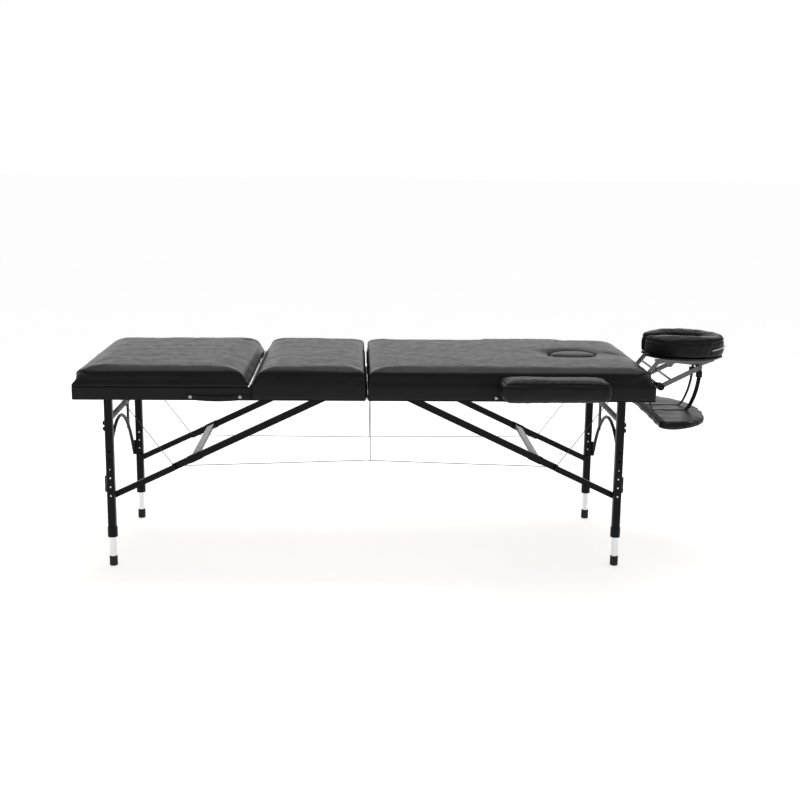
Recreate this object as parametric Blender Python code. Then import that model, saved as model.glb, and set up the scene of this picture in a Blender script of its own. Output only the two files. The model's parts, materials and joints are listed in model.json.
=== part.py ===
"""A portable massage table: two folding halves on cable-braced leg frames, with a lifting
backrest, armrests, a face rest on two posts and a hanging arm shelf.

Metres, +Z up. Lengths are worked out in the table's own frame (x = 0 at the centre fold,
y = 0 mid-width, z = 0 the floor, +X to the head end) and the whole model hangs from one
empty that moves the middle of its bounding box to the origin.
"""
from math import atan2, cos, pi, radians, sin

import bmesh
import bpy
from mathutils import Matrix, Vector

for old in list(bpy.data.objects):
    bpy.data.objects.remove(old)

# ---------------------------------------------------------------- driving dimensions
HALF_LENGTH = 0.930         # centre fold to either end of the top
HALF_WIDTH = 0.350          # of the upholstered top
UNDERSIDE = 0.5728          # bottom of the rails, with the legs two holes out
TOP = 0.6718                # top of the upholstery
DECK_LOW = 0.6205           # underside of the plywood decks
DECK_THICK = 0.004
FOOT_RAIL_TOP = 0.6135      # side rails under the lifting backrest
RAIL_OUTER = 0.3475
RAIL_WIDTH = 0.022
GAP = 0.0003                # between pieces that touch
X_CENTRE = 0.156            # middle of the bounding box along X, in the table's frame

BACKREST_X = -0.370         # hinge line of the backrest
BACKREST_Z = 0.618
NOTCH_CUT = 0.0255          # how far each cushion end leans back from the hinge line

CENTRE_HINGE_Z = 0.5705

LEG_X = 0.834
LEG_Y = 0.271
LEG_SIZE = 0.026
LEG_TOP = 0.602
LEG_LOW = 0.131
LEG_BORE = 0.0119
LEG_PIVOT = (0.840, 0.597)
HOLE_TOP = 0.3888
HOLE_PITCH = 0.030
HOLE_COUNT = 6
BUTTON_Z = HOLE_TOP - 2 * HOLE_PITCH
FOOT_HEIGHT = 0.033

STRUT_LEG = (0.834, 0.231)      # lower strut's pivot on the leg
STRUT_KNEE = (0.633, 0.326)
STRUT_FRAME = (0.047, 0.605)    # upper strut's pivot under the table
UPPER_Y = (0.2300, 0.2415)      # planes of the side struts, either side of the table
LOWER_Y = (0.2435, 0.2545)
UPPER_HALF = 0.0110
LOWER_HALF = 0.0095
PIN = 0.003

CROSS_TUBE = (0.8475, 0.478, 0.010)     # x, z and radius of the tube between the legs
ARCH_X = 0.8525
ARCH_APEX = 0.446
ARCH_RADIUS = 0.006

ARMREST_X = (0.415, 0.770)
ARMREST_Z = (0.588, 0.660)
ARMREST_OUT = 0.470
ARMREST_RODS_X = (0.500, 0.685)
ARMREST_ROD_Z = 0.602

FACE_HOLE_X = 0.715
FACE_HOLE_HALF = (0.080, 0.063)

HEAD_Y = 0.100                  # the face rest's side plates
HEAD_HUB = (1.000, 0.580)
HEAD_KNEE = (1.1325, 0.6464)
HEAD_LINK_BASE = (0.957, 0.617)
HEAD_LINK_TOP = (0.993, 0.6615)
POST_Z = 0.587
POST_RADIUS = 0.006
RING_CENTRE_X = 1.0965
RING_HALF = (0.1485, 0.148)
PLATFORM_Z = (0.6730, 0.6785)
HEAD_CUSHION_TOP = 0.752

ENDS = (("foot", -1), ("head", 1))
SIDES = (("near", -1), ("far", 1))


# ---------------------------------------------------------------- materials
def material(name, colour, roughness, metallic=0.0):
    made = bpy.data.materials.new(name)
    made.use_nodes = True
    shader = made.node_tree.nodes["Principled BSDF"]
    shader.inputs["Base Color"].default_value = (*colour, 1.0)
    shader.inputs["Roughness"].default_value = roughness
    shader.inputs["Metallic"].default_value = metallic
    return made


UPHOLSTERY = material("black_upholstery", (0.020, 0.020, 0.021), 0.45)
BLACK_METAL = material("black_powder_coat", (0.015, 0.015, 0.016), 0.42)
BLACK_PLASTIC = material("black_plastic", (0.018, 0.018, 0.019), 0.40)
PLYWOOD = material("plywood", (0.42, 0.29, 0.17), 0.60)
BRIGHT_ALUMINIUM = material("bright_aluminium", (0.78, 0.78, 0.79), 0.28, 1.0)
GREY_ALUMINIUM = material("grey_aluminium", (0.28, 0.28, 0.29), 0.42, 1.0)
STEEL = material("zinc_plated_steel", (0.62, 0.62, 0.63), 0.30, 1.0)
RUBBER = material("black_rubber", (0.014, 0.014, 0.014), 0.75)
WEBBING = material("black_webbing", (0.016, 0.016, 0.017), 0.80)


# ---------------------------------------------------------------- shapes
def box(low, high):
    """A block between two corners."""
    shape = bmesh.new()
    bmesh.ops.create_cube(shape, size=1.0)
    middle = (Vector(low) + Vector(high)) / 2
    size = [abs(h - l) for l, h in zip(low, high)]
    bmesh.ops.scale(shape, vec=size, verts=shape.verts)
    bmesh.ops.translate(shape, vec=middle, verts=shape.verts)
    return shape


def rod(start, end, radius, sides=16, end_radius=None):
    """A solid round bar, tapered if end_radius is given."""
    start, end = Vector(start), Vector(end)
    along = end - start
    turn = along.to_track_quat("Z", "Y").to_matrix().to_4x4()
    place = Matrix.Translation((start + end) / 2) @ turn
    shape = bmesh.new()
    bmesh.ops.create_cone(shape, cap_ends=True, segments=sides, radius1=radius,
                          radius2=radius if end_radius is None else end_radius,
                          depth=along.length, matrix=place)
    return shape


def place_outline(shape, points, axis, level):
    """Vertices for a 2-D outline: axis Z takes (x, y), axis Y takes (x, z), axis X takes (y, z)."""
    spots = {"Z": lambda u, v: (u, v, level),
             "Y": lambda u, v: (u, level, v),
             "X": lambda u, v: (level, u, v)}[axis]
    return [shape.verts.new(spots(u, v)) for u, v in points]


def prism(points, axis, low, high):
    """An outline pushed along an axis."""
    shape = bmesh.new()
    base = shape.faces.new(place_outline(shape, points, axis, low))
    grown = bmesh.ops.extrude_face_region(shape, geom=[base])
    moved = [v for v in grown["geom"] if isinstance(v, bmesh.types.BMVert)]
    step = {"X": (high - low, 0, 0), "Y": (0, high - low, 0), "Z": (0, 0, high - low)}[axis]
    bmesh.ops.translate(shape, vec=step, verts=moved)
    bmesh.ops.recalc_face_normals(shape, faces=shape.faces)
    return shape


def ring_prism(outer, inner, axis, low, high):
    """A closed wall between two outlines of the same number of points, pushed along an axis."""
    shape = bmesh.new()
    loops = [place_outline(shape, points, axis, level)
             for points, level in ((outer, low), (outer, high), (inner, high), (inner, low))]
    count = len(outer)
    for this, other in zip(loops, loops[1:] + loops[:1]):
        for n in range(count):
            m = (n + 1) % count
            shape.faces.new((this[n], this[m], other[m], other[n]))
    bmesh.ops.recalc_face_normals(shape, faces=shape.faces)
    return shape


def circle(centre, radius, sides, radius_v=None):
    """An ellipse's points, anticlockwise from its +u end."""
    radius_v = radius if radius_v is None else radius_v
    steps = [2 * pi * n / sides for n in range(sides)]
    return [(centre[0] + radius * cos(a), centre[1] + radius_v * sin(a)) for a in steps]


def rounded(low, high, radius, steps=3):
    """A rectangle's outline with rounded corners."""
    corners = ((high[0] - radius, high[1] - radius, 0.0), (low[0] + radius, high[1] - radius, 0.5),
               (low[0] + radius, low[1] + radius, 1.0), (high[0] - radius, low[1] + radius, 1.5))
    return [(u + radius * cos(pi * (turn + 0.5 * n / steps)),
             v + radius * sin(pi * (turn + 0.5 * n / steps)))
            for u, v, turn in corners for n in range(steps + 1)]


def link_outline(start, end, half, steps=4):
    """A bar with round ends about two pivots."""
    angle = atan2(end[1] - start[1], end[0] - start[0])
    outline = []
    for centre, first in ((end, angle - pi / 2), (start, angle + pi / 2)):
        for n in range(steps + 1):
            a = first + pi * n / steps
            outline.append((centre[0] + half * cos(a), centre[1] + half * sin(a)))
    return outline


def lathe(profile, foot, sides=16):
    """A closed turned body about the vertical through foot; profile is (radius, height) pairs."""
    shape = bmesh.new()
    line = [shape.verts.new((r, 0.0, z)) for r, z in profile]
    edges = [shape.edges.new(pair) for pair in zip(line, line[1:])]
    bmesh.ops.spin(shape, geom=line + edges, axis=(0, 0, 1), cent=(0, 0, 0), steps=sides,
                   angle=2 * pi)
    bmesh.ops.remove_doubles(shape, verts=shape.verts, dist=1e-6)
    bmesh.ops.recalc_face_normals(shape, faces=shape.faces)
    bmesh.ops.translate(shape, vec=foot, verts=shape.verts)
    return shape


def swept(points, radius, sides=8):
    """A round tube along a line of points, with flat ends."""
    points = [Vector(p) for p in points]
    shape = bmesh.new()
    rings = []
    side = None
    for n, point in enumerate(points):
        ahead = points[min(n + 1, len(points) - 1)] - points[max(n - 1, 0)]
        ahead.normalize()
        if side is None:
            side = ahead.cross(Vector((0, 0, 1)))
            if side.length < 0.1:
                side = ahead.cross(Vector((0, 1, 0)))
        side = (side - ahead * side.dot(ahead)).normalized()
        up = side.cross(ahead)
        ring = [side * cos(2 * pi * k / sides) + up * sin(2 * pi * k / sides)
                for k in range(sides)]
        rings.append([shape.verts.new(point + radius * spoke) for spoke in ring])
    for this, other in zip(rings, rings[1:]):
        for k in range(sides):
            m = (k + 1) % sides
            shape.faces.new((this[k], this[m], other[m], other[k]))
    shape.faces.new(rings[0][::-1])
    shape.faces.new(rings[-1])
    bmesh.ops.recalc_face_normals(shape, faces=shape.faces)
    return shape


def swept_strap(points, width_axis, width, thick):
    """A flat strap along a line of points; width_axis is the direction of its width."""
    points = [Vector(p) for p in points]
    across = Vector(width_axis).normalized() * width / 2
    shape = bmesh.new()
    rings = []
    for n, point in enumerate(points):
        ahead = points[min(n + 1, len(points) - 1)] - points[max(n - 1, 0)]
        out = ahead.cross(across).normalized() * thick / 2
        rings.append([shape.verts.new(point + a + b)
                      for a, b in ((across, out), (-across, out), (-across, -out), (across, -out))])
    for this, other in zip(rings, rings[1:]):
        for k in range(4):
            m = (k + 1) % 4
            shape.faces.new((this[k], this[m], other[m], other[k]))
    shape.faces.new(rings[0][::-1])
    shape.faces.new(rings[-1])
    bmesh.ops.recalc_face_normals(shape, faces=shape.faces)
    return shape


def to_object(shape):
    mesh = bpy.data.meshes.new("shape")
    shape.to_mesh(mesh)
    shape.free()
    made = bpy.data.objects.new("shape", mesh)
    bpy.context.scene.collection.objects.link(made)
    return made


def combine(first, others, operation="UNION"):
    """One body from several by Boolean modifiers, as a bmesh."""
    body = to_object(first)
    tools = [to_object(other) for other in others]
    for tool in tools:
        step = body.modifiers.new("combine", "BOOLEAN")
        step.operation = operation
        step.solver = "EXACT"
        step.object = tool
    evaluated = body.evaluated_get(bpy.context.evaluated_depsgraph_get())
    mesh = evaluated.to_mesh()
    result = bmesh.new()
    result.from_mesh(mesh)
    evaluated.to_mesh_clear()
    for used in (body, *tools):
        bpy.data.objects.remove(used)
    return result


def cut(first, others):
    return combine(first, others, "DIFFERENCE")


# ---------------------------------------------------------------- placing
ROOT = bpy.data.objects.new("table", None)
ROOT.location = (-X_CENTRE, 0, 0)
bpy.context.scene.collection.objects.link(ROOT)
PIVOTS = {"table": Vector((0, 0, 0))}


def pivot(name, spot, parent="table"):
    """An empty on a joint's axis; spot is in the table's frame."""
    empty = bpy.data.objects.new(name, None)
    empty.parent = bpy.data.objects[parent]
    empty.location = Vector(spot) - PIVOTS[parent]
    bpy.context.scene.collection.objects.link(empty)
    PIVOTS[name] = Vector(spot)
    return name


def piece(name, shape, finish, at="table", bevel=0.0, steps=1):
    """A named sub-part: its mesh is moved from the table's frame to its pivot's."""
    bmesh.ops.translate(shape, vec=-PIVOTS[at], verts=shape.verts)
    mesh = bpy.data.meshes.new(name)
    shape.to_mesh(mesh)
    shape.free()
    mesh.materials.append(finish)
    mesh.shade_smooth()
    mesh.set_sharp_from_angle(angle=radians(35))
    made = bpy.data.objects.new(name, mesh)
    made.parent = bpy.data.objects[at]
    bpy.context.scene.collection.objects.link(made)
    if bevel:
        rounding = made.modifiers.new("bevel", "BEVEL")
        rounding.width = bevel
        rounding.segments = steps
        rounding.limit_method = "ANGLE"
        rounding.angle_limit = radians(40)
    return made


# ---------------------------------------------------------------- rails, decks and cushions
def hanger(s, spot, inner_y, outer_y, half_x, radius):
    """A plate from side rail to side rail, with two U-brackets and their pivot pins hanging under it."""
    x, z = s * spot[0], spot[1]
    top = DECK_LOW - GAP
    plate = 0.003
    reach = RAIL_OUTER - RAIL_WIDTH + 0.002
    parts = [box((x - half_x, -reach, top - plate), (x + half_x, reach, top))]
    outline = [(x - half_x, top - 0.001), (x - 0.010, z - 0.010),
               (x + 0.010, z - 0.010), (x + half_x, top - 0.001)]
    for k in (-1, 1):
        for edge, away in ((inner_y, inner_y - plate), (outer_y, outer_y + plate)):
            parts.append(prism(outline, "Y", *sorted((k * edge, k * away))))
        parts.append(rod((x, k * (inner_y - 0.002), z), (x, k * (outer_y + 0.002), z), radius, 8))
        low, high = sorted((k * (reach - 0.004), k * reach))
        parts.append(box((x - half_x, low, top - 0.020), (x + half_x, high, top - 0.001)))
    return parts


def rail_frame(end, s):
    """Four rails welded into one frame with its hangers; the rails are lower under the backrest."""
    inner_y = RAIL_OUTER - RAIL_WIDTH
    low_x = 0.005
    high_x = HALF_LENGTH - 0.003
    step_x = -BACKREST_X + 0.0025
    top = DECK_LOW - GAP
    end_top = FOOT_RAIL_TOP if s < 0 else top
    profile = [(low_x, UNDERSIDE), (high_x, UNDERSIDE), (high_x, end_top)]
    if s < 0:
        profile += [(step_x, FOOT_RAIL_TOP), (step_x, top)]
    profile += [(low_x, top)]
    profile = [(s * x, z) for x, z in profile]
    side_rails = [prism(profile, "Y", y, y + RAIL_WIDTH) for y in (-RAIL_OUTER, inner_y)]
    parts = [box((s * low_x, -inner_y - 0.002, UNDERSIDE + 0.0001),
                 (s * (low_x + RAIL_WIDTH), inner_y + 0.002, top - 0.0001)),
             box((s * (high_x - RAIL_WIDTH), -inner_y - 0.002, UNDERSIDE + 0.0001),
                 (s * (high_x - 0.0001), inner_y + 0.002, end_top - 0.0001))]
    parts += hanger(s, STRUT_FRAME, UPPER_Y[0] - 0.003, UPPER_Y[1] + 0.003, 0.015, PIN)
    leg_half = LEG_SIZE / 2 + 0.0013
    parts += hanger(s, LEG_PIVOT, LEG_Y - leg_half, LEG_Y + leg_half, 0.018, 0.0025)
    if s < 0:
        parts += prop_racks()
    holes = []
    if s > 0:
        holes = [rod((0.870, y, POST_Z), (high_x + 0.01, y, POST_Z), POST_RADIUS + 0.0004, 12)
                 for y in (-HEAD_Y, HEAD_Y)]
        parts += [rod((0.880, y, POST_Z), (high_x - 0.010, y, POST_Z), 0.0095, 12) for y in (-HEAD_Y, HEAD_Y)]
        holes += [rod((x, y * 0.31, ARMREST_ROD_Z), (x, y * 0.36, ARMREST_ROD_Z), 0.0054, 10)
                  for x in ARMREST_RODS_X for y in (-1, 1)]
    frame = combine(side_rails[0], parts + [side_rails[1]])
    piece(f"{end}_frame", cut(frame, holes) if holes else frame, BLACK_METAL,
          "head_half" if s > 0 else "table")


def cushion(low_x, high_x, bottom, lean_low=0.0, lean_high=0.0, radius=0.012):
    """A block of foam with ends that may lean back, and rounded long edges."""
    y = HALF_WIDTH
    profile = [(low_x, bottom), (high_x, bottom), (high_x - lean_high, TOP), (low_x + lean_low, TOP)]
    body = prism(profile, "Y", -y, y)
    top_edges = [e for e in body.edges if all(v.co.z > TOP - 0.001 for v in e.verts)]
    bmesh.ops.bevel(body, geom=top_edges, offset=radius, segments=3, profile=0.5, affect="EDGES")
    return body


def make_tops():
    deck_top = DECK_LOW + DECK_THICK
    pad_low = deck_top + GAP
    hinge_gap = 0.0035
    apex = 0.0015
    piece("mid_deck", box((BACKREST_X + hinge_gap, -RAIL_OUTER, DECK_LOW), (-0.005, RAIL_OUTER, deck_top)),
          PLYWOOD)
    piece("mid_cushion", cushion(BACKREST_X + hinge_gap, -0.002, pad_low, NOTCH_CUT - 0.002), UPHOLSTERY)
    board = box((-HALF_LENGTH + 0.005, -RAIL_OUTER, DECK_LOW),
                (BACKREST_X - hinge_gap, RAIL_OUTER, deck_top + 0.001))
    slots = [box((PROP_PIVOT[0] - 0.009, k * 0.3075 - 0.0045, DECK_LOW - 0.001),
                 (PROP_PIVOT[0] + 0.009, k * 0.3075 + 0.0045, deck_top + 0.002)) for k in (-1, 1)]
    piece("backrest_board", cut(combine(board, prop_lugs()), [prop_axle(0.0021)] + slots), PLYWOOD,
          "backrest")
    piece("backrest_cushion", cushion(-HALF_LENGTH - 0.003, BACKREST_X - apex - 0.002, pad_low + 0.001,
                                      0.004, NOTCH_CUT - 0.002), UPHOLSTERY, "backrest")
    hole = prism(circle((FACE_HOLE_X, 0), FACE_HOLE_HALF[0] - 0.008, 20, FACE_HOLE_HALF[1] - 0.008),
                 "Z", 0.60, 0.64)
    deck = cut(box((0.005, -RAIL_OUTER, DECK_LOW), (HALF_LENGTH - 0.005, RAIL_OUTER, deck_top)), [hole])
    piece("head_deck", deck, PLYWOOD, "head_half")
    hole = prism(circle((FACE_HOLE_X, 0), FACE_HOLE_HALF[0], 24, FACE_HOLE_HALF[1]), "Z", 0.60, 0.70)
    pad = cut(cushion(0.002, HALF_LENGTH, pad_low, 0.002, 0.004), [hole])
    piece("head_cushion", pad, UPHOLSTERY, "head_half")


def make_face_plug():
    half_x = FACE_HOLE_HALF[0] - 0.0012
    half_y = FACE_HOLE_HALF[1] - 0.0012
    low = DECK_LOW + DECK_THICK + 2 * GAP
    levels = ((low, 0.97), (low + 0.006, 1.0), (TOP - 0.006, 1.0), (TOP, 0.975),
              (TOP + 0.003, 0.90), (TOP + 0.0055, 0.62))
    shape = bmesh.new()
    rings = [place_outline(shape, circle((FACE_HOLE_X, 0), half_x * k, 24, half_y * k), "Z", z)
             for z, k in levels]
    for this, other in zip(rings, rings[1:]):
        for n in range(24):
            m = (n + 1) % 24
            shape.faces.new((this[n], this[m], other[m], other[n]))
    shape.faces.new(rings[0][::-1])
    shape.faces.new(rings[-1])
    bmesh.ops.recalc_face_normals(shape, faces=shape.faces)
    piece("face_hole_plug", shape, UPHOLSTERY, "face_plug")


# ---------------------------------------------------------------- hinges
def hinge_leaf(centre, barrel, bore, leaf_x, leaf_z, spans, edge):
    """A leaf along Y from edge to edge, with barrels about the hinge line over each (low, high) span."""
    side = 1 if leaf_x > 0 else -1
    near = centre[0] + side * (barrel + 0.0005)
    leaf = box((near, -edge, leaf_z[0]), (centre[0] + leaf_x, edge, leaf_z[1]))
    parts, holes = [], []
    for low, high in spans:
        parts.append(rod((centre[0], low, centre[1]), (centre[0], high, centre[1]), barrel, 10))
        tongue = sorted((centre[0] + side * 0.0012, near + side * 0.001))
        parts.append(box((tongue[0], low, leaf_z[0]), (tongue[1], high, leaf_z[1])))
        holes.append(rod((centre[0], low - 0.002, centre[1]), (centre[0], high + 0.002, centre[1]), bore, 8))
    return cut(combine(leaf, parts), holes)


def make_centre_hinge():
    """One long hinge under the fold, its two leaves under the two centre rails."""
    centre = (0.0, CENTRE_HINGE_Z)
    barrel, bore, pin = 0.0040, 0.0022, 0.0018
    leaf_z = (CENTRE_HINGE_Z + 0.0005, UNDERSIDE - GAP)
    length, count = 0.60, 4
    pitch = length / count
    spans = [(-length / 2 + n * pitch + 0.0002, -length / 2 + (n + 1) * pitch - 0.0002)
             for n in range(count)]
    foot_leaf = hinge_leaf(centre, barrel, bore, -0.025, leaf_z, spans[0::2], length / 2)
    head_leaf = hinge_leaf(centre, barrel, bore, 0.025, leaf_z, spans[1::2], length / 2)
    piece("centre_hinge_foot_leaf", foot_leaf, STEEL)
    piece("centre_hinge_head_leaf", head_leaf, STEEL, "head_half")
    shaft = rod((0, -length / 2 - 0.001, CENTRE_HINGE_Z), (0, length / 2 + 0.001, CENTRE_HINGE_Z), pin, 10)
    heads = [rod((0, k * (length / 2 + 0.0003), CENTRE_HINGE_Z),
                 (0, k * (length / 2 + 0.002), CENTRE_HINGE_Z), 0.0034, 12) for k in (-1, 1)]
    piece("centre_hinge_pin", combine(shaft, heads), STEEL, "centre_pins")


def make_backrest_hinge():
    """A hinge between the backrest board and the middle deck; its pin rides with the board's leaf."""
    centre = (BACKREST_X, BACKREST_Z)
    barrel, bore, pin = 0.0026, 0.0015, 0.0011
    leaf_z = (0.6190, DECK_LOW - GAP)
    edge = 0.18
    fixed = [(-0.120, -0.060), (0.060, 0.120)]
    moving = [(-0.180, -0.1204), (-0.0596, 0.0596), (0.1204, 0.180)]
    piece("backrest_hinge_fixed_leaf", hinge_leaf(centre, barrel, bore, 0.024, leaf_z, fixed, edge), STEEL)
    leaf = box((centre[0] - 0.024, -edge, leaf_z[0]), (centre[0] - barrel - 0.0005, edge, leaf_z[1]))
    parts = [rod((centre[0], -edge, centre[1]), (centre[0], edge, centre[1]), pin, 10)]
    for low, high in moving:
        parts.append(rod((centre[0], low, centre[1]), (centre[0], high, centre[1]), barrel, 10))
        parts.append(box((centre[0] - barrel - 0.001, low, leaf_z[0]), (centre[0] - 0.0012, high, leaf_z[1])))
    piece("backrest_hinge_moving_leaf", combine(leaf, parts), STEEL, "backrest")


# ---------------------------------------------------------------- backrest prop
BACKREST_TILT = radians(50)
PROP_PIVOT = (-0.570, 0.6185)
PROP_FOOT = (-0.2455, -0.0035)      # the peg from the prop's axle
PROP_RATIO = 1.825                  # the prop's turn for each turn of the backrest
PROP_Y = (0.3045, 0.3105)
RACK_Y = (0.3130, 0.3275)
PROP_PEG = 0.003


def prop_peg(tilt):
    """Where the prop's peg is with the backrest up by tilt."""
    arm = (PROP_PIVOT[0] - BACKREST_X, PROP_PIVOT[1] - BACKREST_Z)
    x = BACKREST_X + arm[0] * cos(tilt) + arm[1] * sin(tilt)
    z = BACKREST_Z - arm[0] * sin(tilt) + arm[1] * cos(tilt)
    turn = tilt * (1 - PROP_RATIO)
    return (x + PROP_FOOT[0] * cos(turn) + PROP_FOOT[1] * sin(turn),
            z - PROP_FOOT[0] * sin(turn) + PROP_FOOT[1] * cos(turn))


def prop_axle(radius):
    px, pz = PROP_PIVOT
    return rod((px, -PROP_Y[1], pz), (px, PROP_Y[1], pz), radius, 10)


def prop_lugs():
    """Eyes under the backrest board that carry the prop's axle."""
    px, pz = PROP_PIVOT
    return [rod((px, k * 0.294, pz), (px, k * 0.302, pz), 0.0036, 12) for k in (-1, 1)]


def make_prop():
    """A bail of two flat bars on one axle, each with a peg that drops into a rack."""
    px, pz = PROP_PIVOT
    line = DECK_LOW - GAP - 0.0048
    parts = []
    for k in (-1, 1):
        low, high = sorted((k * PROP_Y[0], k * PROP_Y[1]))
        parts.append(prism(link_outline((px, line), (px + PROP_FOOT[0], line), 0.0048, 4), "Y", low, high))
        peg_x, peg_z = px + PROP_FOOT[0], pz + PROP_FOOT[1]
        parts.append(rod((peg_x, k * (PROP_Y[1] - 0.001), peg_z), (peg_x, k * (RACK_Y[1] - 0.005), peg_z),
                         PROP_PEG, 10))
    piece("backrest_prop", combine(prop_axle(0.0017), parts), STEEL, "prop_axis")


def prop_racks():
    """Notched racks on the inner faces of the foot half's side rails."""
    base = 0.588
    tooth = 0.0016
    stops = [prop_peg(BACKREST_TILT - radians(drop)) for drop in (0, 5, 10)]
    made = []
    for k in (-1, 1):
        first_x = stops[0][0] + 0.012
        profile = [(stops[-1][0] - 0.010, base), (first_x, base), (first_x, stops[0][1] - 0.002)]
        for x, z in stops:
            valley = z - PROP_PEG - 2 * GAP - tooth
            profile += [(x + 0.006, valley + tooth), (x + 0.0035, valley), (x - 0.0035, valley)]
        profile += [(stops[-1][0] - 0.010, stops[-1][1] - PROP_PEG - 2 * GAP - tooth)]
        made.append(prism(profile, "Y", *sorted((k * RACK_Y[0], k * RACK_Y[1]))))
    return made


# ---------------------------------------------------------------- leg frames
def leg(s, k):
    """A square tube with its end collar, strut pivot and bolt cap, bored right through."""
    half = LEG_SIZE / 2
    x, y = s * LEG_X, k * LEG_Y
    square = rounded((x - half, y - half), (x + half, y + half), 0.0045, 2)
    tube = prism(square, "Z", LEG_LOW - 0.0005, LEG_TOP)
    collar = rod((x, y, 0.099), (x, y, LEG_LOW), 0.0165, 16)
    inner = LEG_Y - half
    bz = STRUT_LEG[1]
    boss = rod((x, k * (inner + 0.0008), bz), (x, k * (LOWER_Y[1] + GAP), bz), 0.009, 10)
    pin = rod((x, k * (inner + 0.0005), bz), (x, k * (LOWER_Y[0] - 0.0010), bz), PIN, 8)
    head = rod((x, k * (LOWER_Y[0] - GAP), bz), (x, k * (LOWER_Y[0] - 0.0015), bz), 0.006, 8)
    face = x + s * half
    cap = rod((face - s * 0.0008, y, 0.462), (face + s * 0.0065, y, 0.462), 0.0095, 10, 0.005)
    body = combine(tube, [collar, boss, pin, head, cap])
    holes = [rod((x, y, 0.09), (x, y, LEG_TOP + 0.01), LEG_BORE, 16)]
    for n in range(HOLE_COUNT):
        z = HOLE_TOP - n * HOLE_PITCH
        holes.append(rod((x, k * (LEG_Y - 0.020), z), (x, k * (LEG_Y + 0.020), z), 0.0036, 8))
    px, pz = s * LEG_PIVOT[0], LEG_PIVOT[1]
    holes.append(rod((px, k * (LEG_Y - 0.02), pz), (px, k * (LEG_Y + 0.02), pz), 0.0028, 8))
    return cut(body, holes)


def arch_height(y):
    """The bent brace falls off like a parabola and steepens where it meets the leg."""
    return ARCH_APEX - 2.65 * y ** 2 - 68.0 * y ** 6


def make_leg_frame(end, s):
    at = f"{end}_legs"
    for side, k in SIDES:
        piece(f"{end}_leg_{side}", leg(s, k), BLACK_METAL, at)
    cx, cz, cr = CROSS_TUBE
    inner = LEG_Y - LEG_SIZE / 2 - GAP
    tube = rod((s * cx, -inner, cz), (s * cx, inner, cz), cr, 12)
    spread = 0.2480
    count = 18
    points = []
    for n in range(count + 1):
        y = spread * sin(pi / 2 * (2 * n / count - 1))
        points.append((s * ARCH_X, y, arch_height(y)))
    parts = [swept(points, ARCH_RADIUS, 8)]
    for k in (-1, 1):
        y = 0.158 * k
        parts.append(box((s * (ARCH_X - 0.0025), y - 0.013, arch_height(abs(y) + 0.010)),
                         (s * (ARCH_X + 0.0025), y + 0.013, cz + 0.004)))
        low, high = sorted((k * (LOWER_Y[1] + GAP), k * inner))
        foot_x = sorted((s * (LEG_X + 0.002), s * (ARCH_X + 0.004)))
        parts.append(box((foot_x[0], low, 0.246), (foot_x[1], high, 0.300)))
        parts.append(rod((s * ARCH_X, k * 0.2470, arch_height(0.2480)),
                         (s * ARCH_X, k * (inner - 0.001), 0.252), ARCH_RADIUS * 0.9, 8))
    piece(f"{end}_leg_brace", combine(tube, parts), BLACK_METAL, at)


def make_leg_extension(end, s, side, k):
    """The aluminium tube that slides in the leg, its rubber foot and its spring button."""
    x, y = s * LEG_X, k * LEG_Y
    slide = f"{end}_{side}_extension"
    outer, wall = 0.01135, 0.0015
    low = 0.0065
    tube = ring_prism(circle((x, y), outer, 16), circle((x, y), outer - wall, 16), "Z", low, BUTTON_Z + 0.016)
    hole = rod((x, k * (LEG_Y + 0.005), BUTTON_Z), (x, k * (LEG_Y + 0.02), BUTTON_Z), 0.0032, 8)
    piece(f"{end}_inner_tube_{side}", cut(tube, [hole]), BRIGHT_ALUMINIUM, slide)
    profile = [(0, 0), (0.0118, 0), (0.0135, 0.0018), (0.0135, 0.029), (0.0128, FOOT_HEIGHT),
               (outer + GAP, FOOT_HEIGHT), (outer + GAP, low - GAP), (0, low - GAP)]
    piece(f"{end}_rubber_foot_{side}", lathe(profile, (x, y, 0)), RUBBER, slide)
    face = LEG_Y + LEG_SIZE / 2
    inside = LEG_Y + outer - wall - 0.004
    low, high = sorted((k * (inside - 0.001), k * (inside + 0.0004)))
    tip = rod((x, k * (face + 0.0003), BUTTON_Z), (x, k * (face + 0.0018), BUTTON_Z), 0.0028, 8, 0.0016)
    plate = box((x - 0.004, low, BUTTON_Z - 0.006), (x + 0.004, high, BUTTON_Z + 0.006))
    stem = rod((x, k * inside, BUTTON_Z), (x, k * (face + 0.0006), BUTTON_Z), 0.0028, 8)
    button = combine(stem, [tip, plate])
    piece(f"{end}_lock_button_{side}", button, STEEL, f"{end}_{side}_button")


# ---------------------------------------------------------------- struts
def strut(s, k, start, end, half, plane, holes):
    low, high = sorted((k * plane[0], k * plane[1]))
    outline = link_outline((s * start[0], start[1]), (s * end[0], end[1]), half)
    body = prism(outline, "Y", low, high)
    return cut(body, [rod((s * x, low - 0.01, z), (s * x, high + 0.01, z), PIN + GAP, 8) for x, z in holes])


def along_upper(distance, lift=0.0):
    """A point on the upper strut, measured from its pivot under the table."""
    angle = atan2(STRUT_KNEE[1] - STRUT_FRAME[1], STRUT_KNEE[0] - STRUT_FRAME[0])
    return (STRUT_FRAME[0] + distance * cos(angle) - lift * sin(angle),
            STRUT_FRAME[1] + distance * sin(angle) + lift * cos(angle))


def upper_block(s, distance, length, half_height, low_y, high_y, lift=0.0):
    """A block lying along the upper strut."""
    corners = [along_upper(distance + a * length / 2, lift + b * half_height)
               for a, b in ((-1, -1), (1, -1), (1, 1), (-1, 1))]
    return prism([(s * x, z) for x, z in corners], "Y", low_y, high_y)


CROSSBAR_AT = 0.5715


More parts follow.
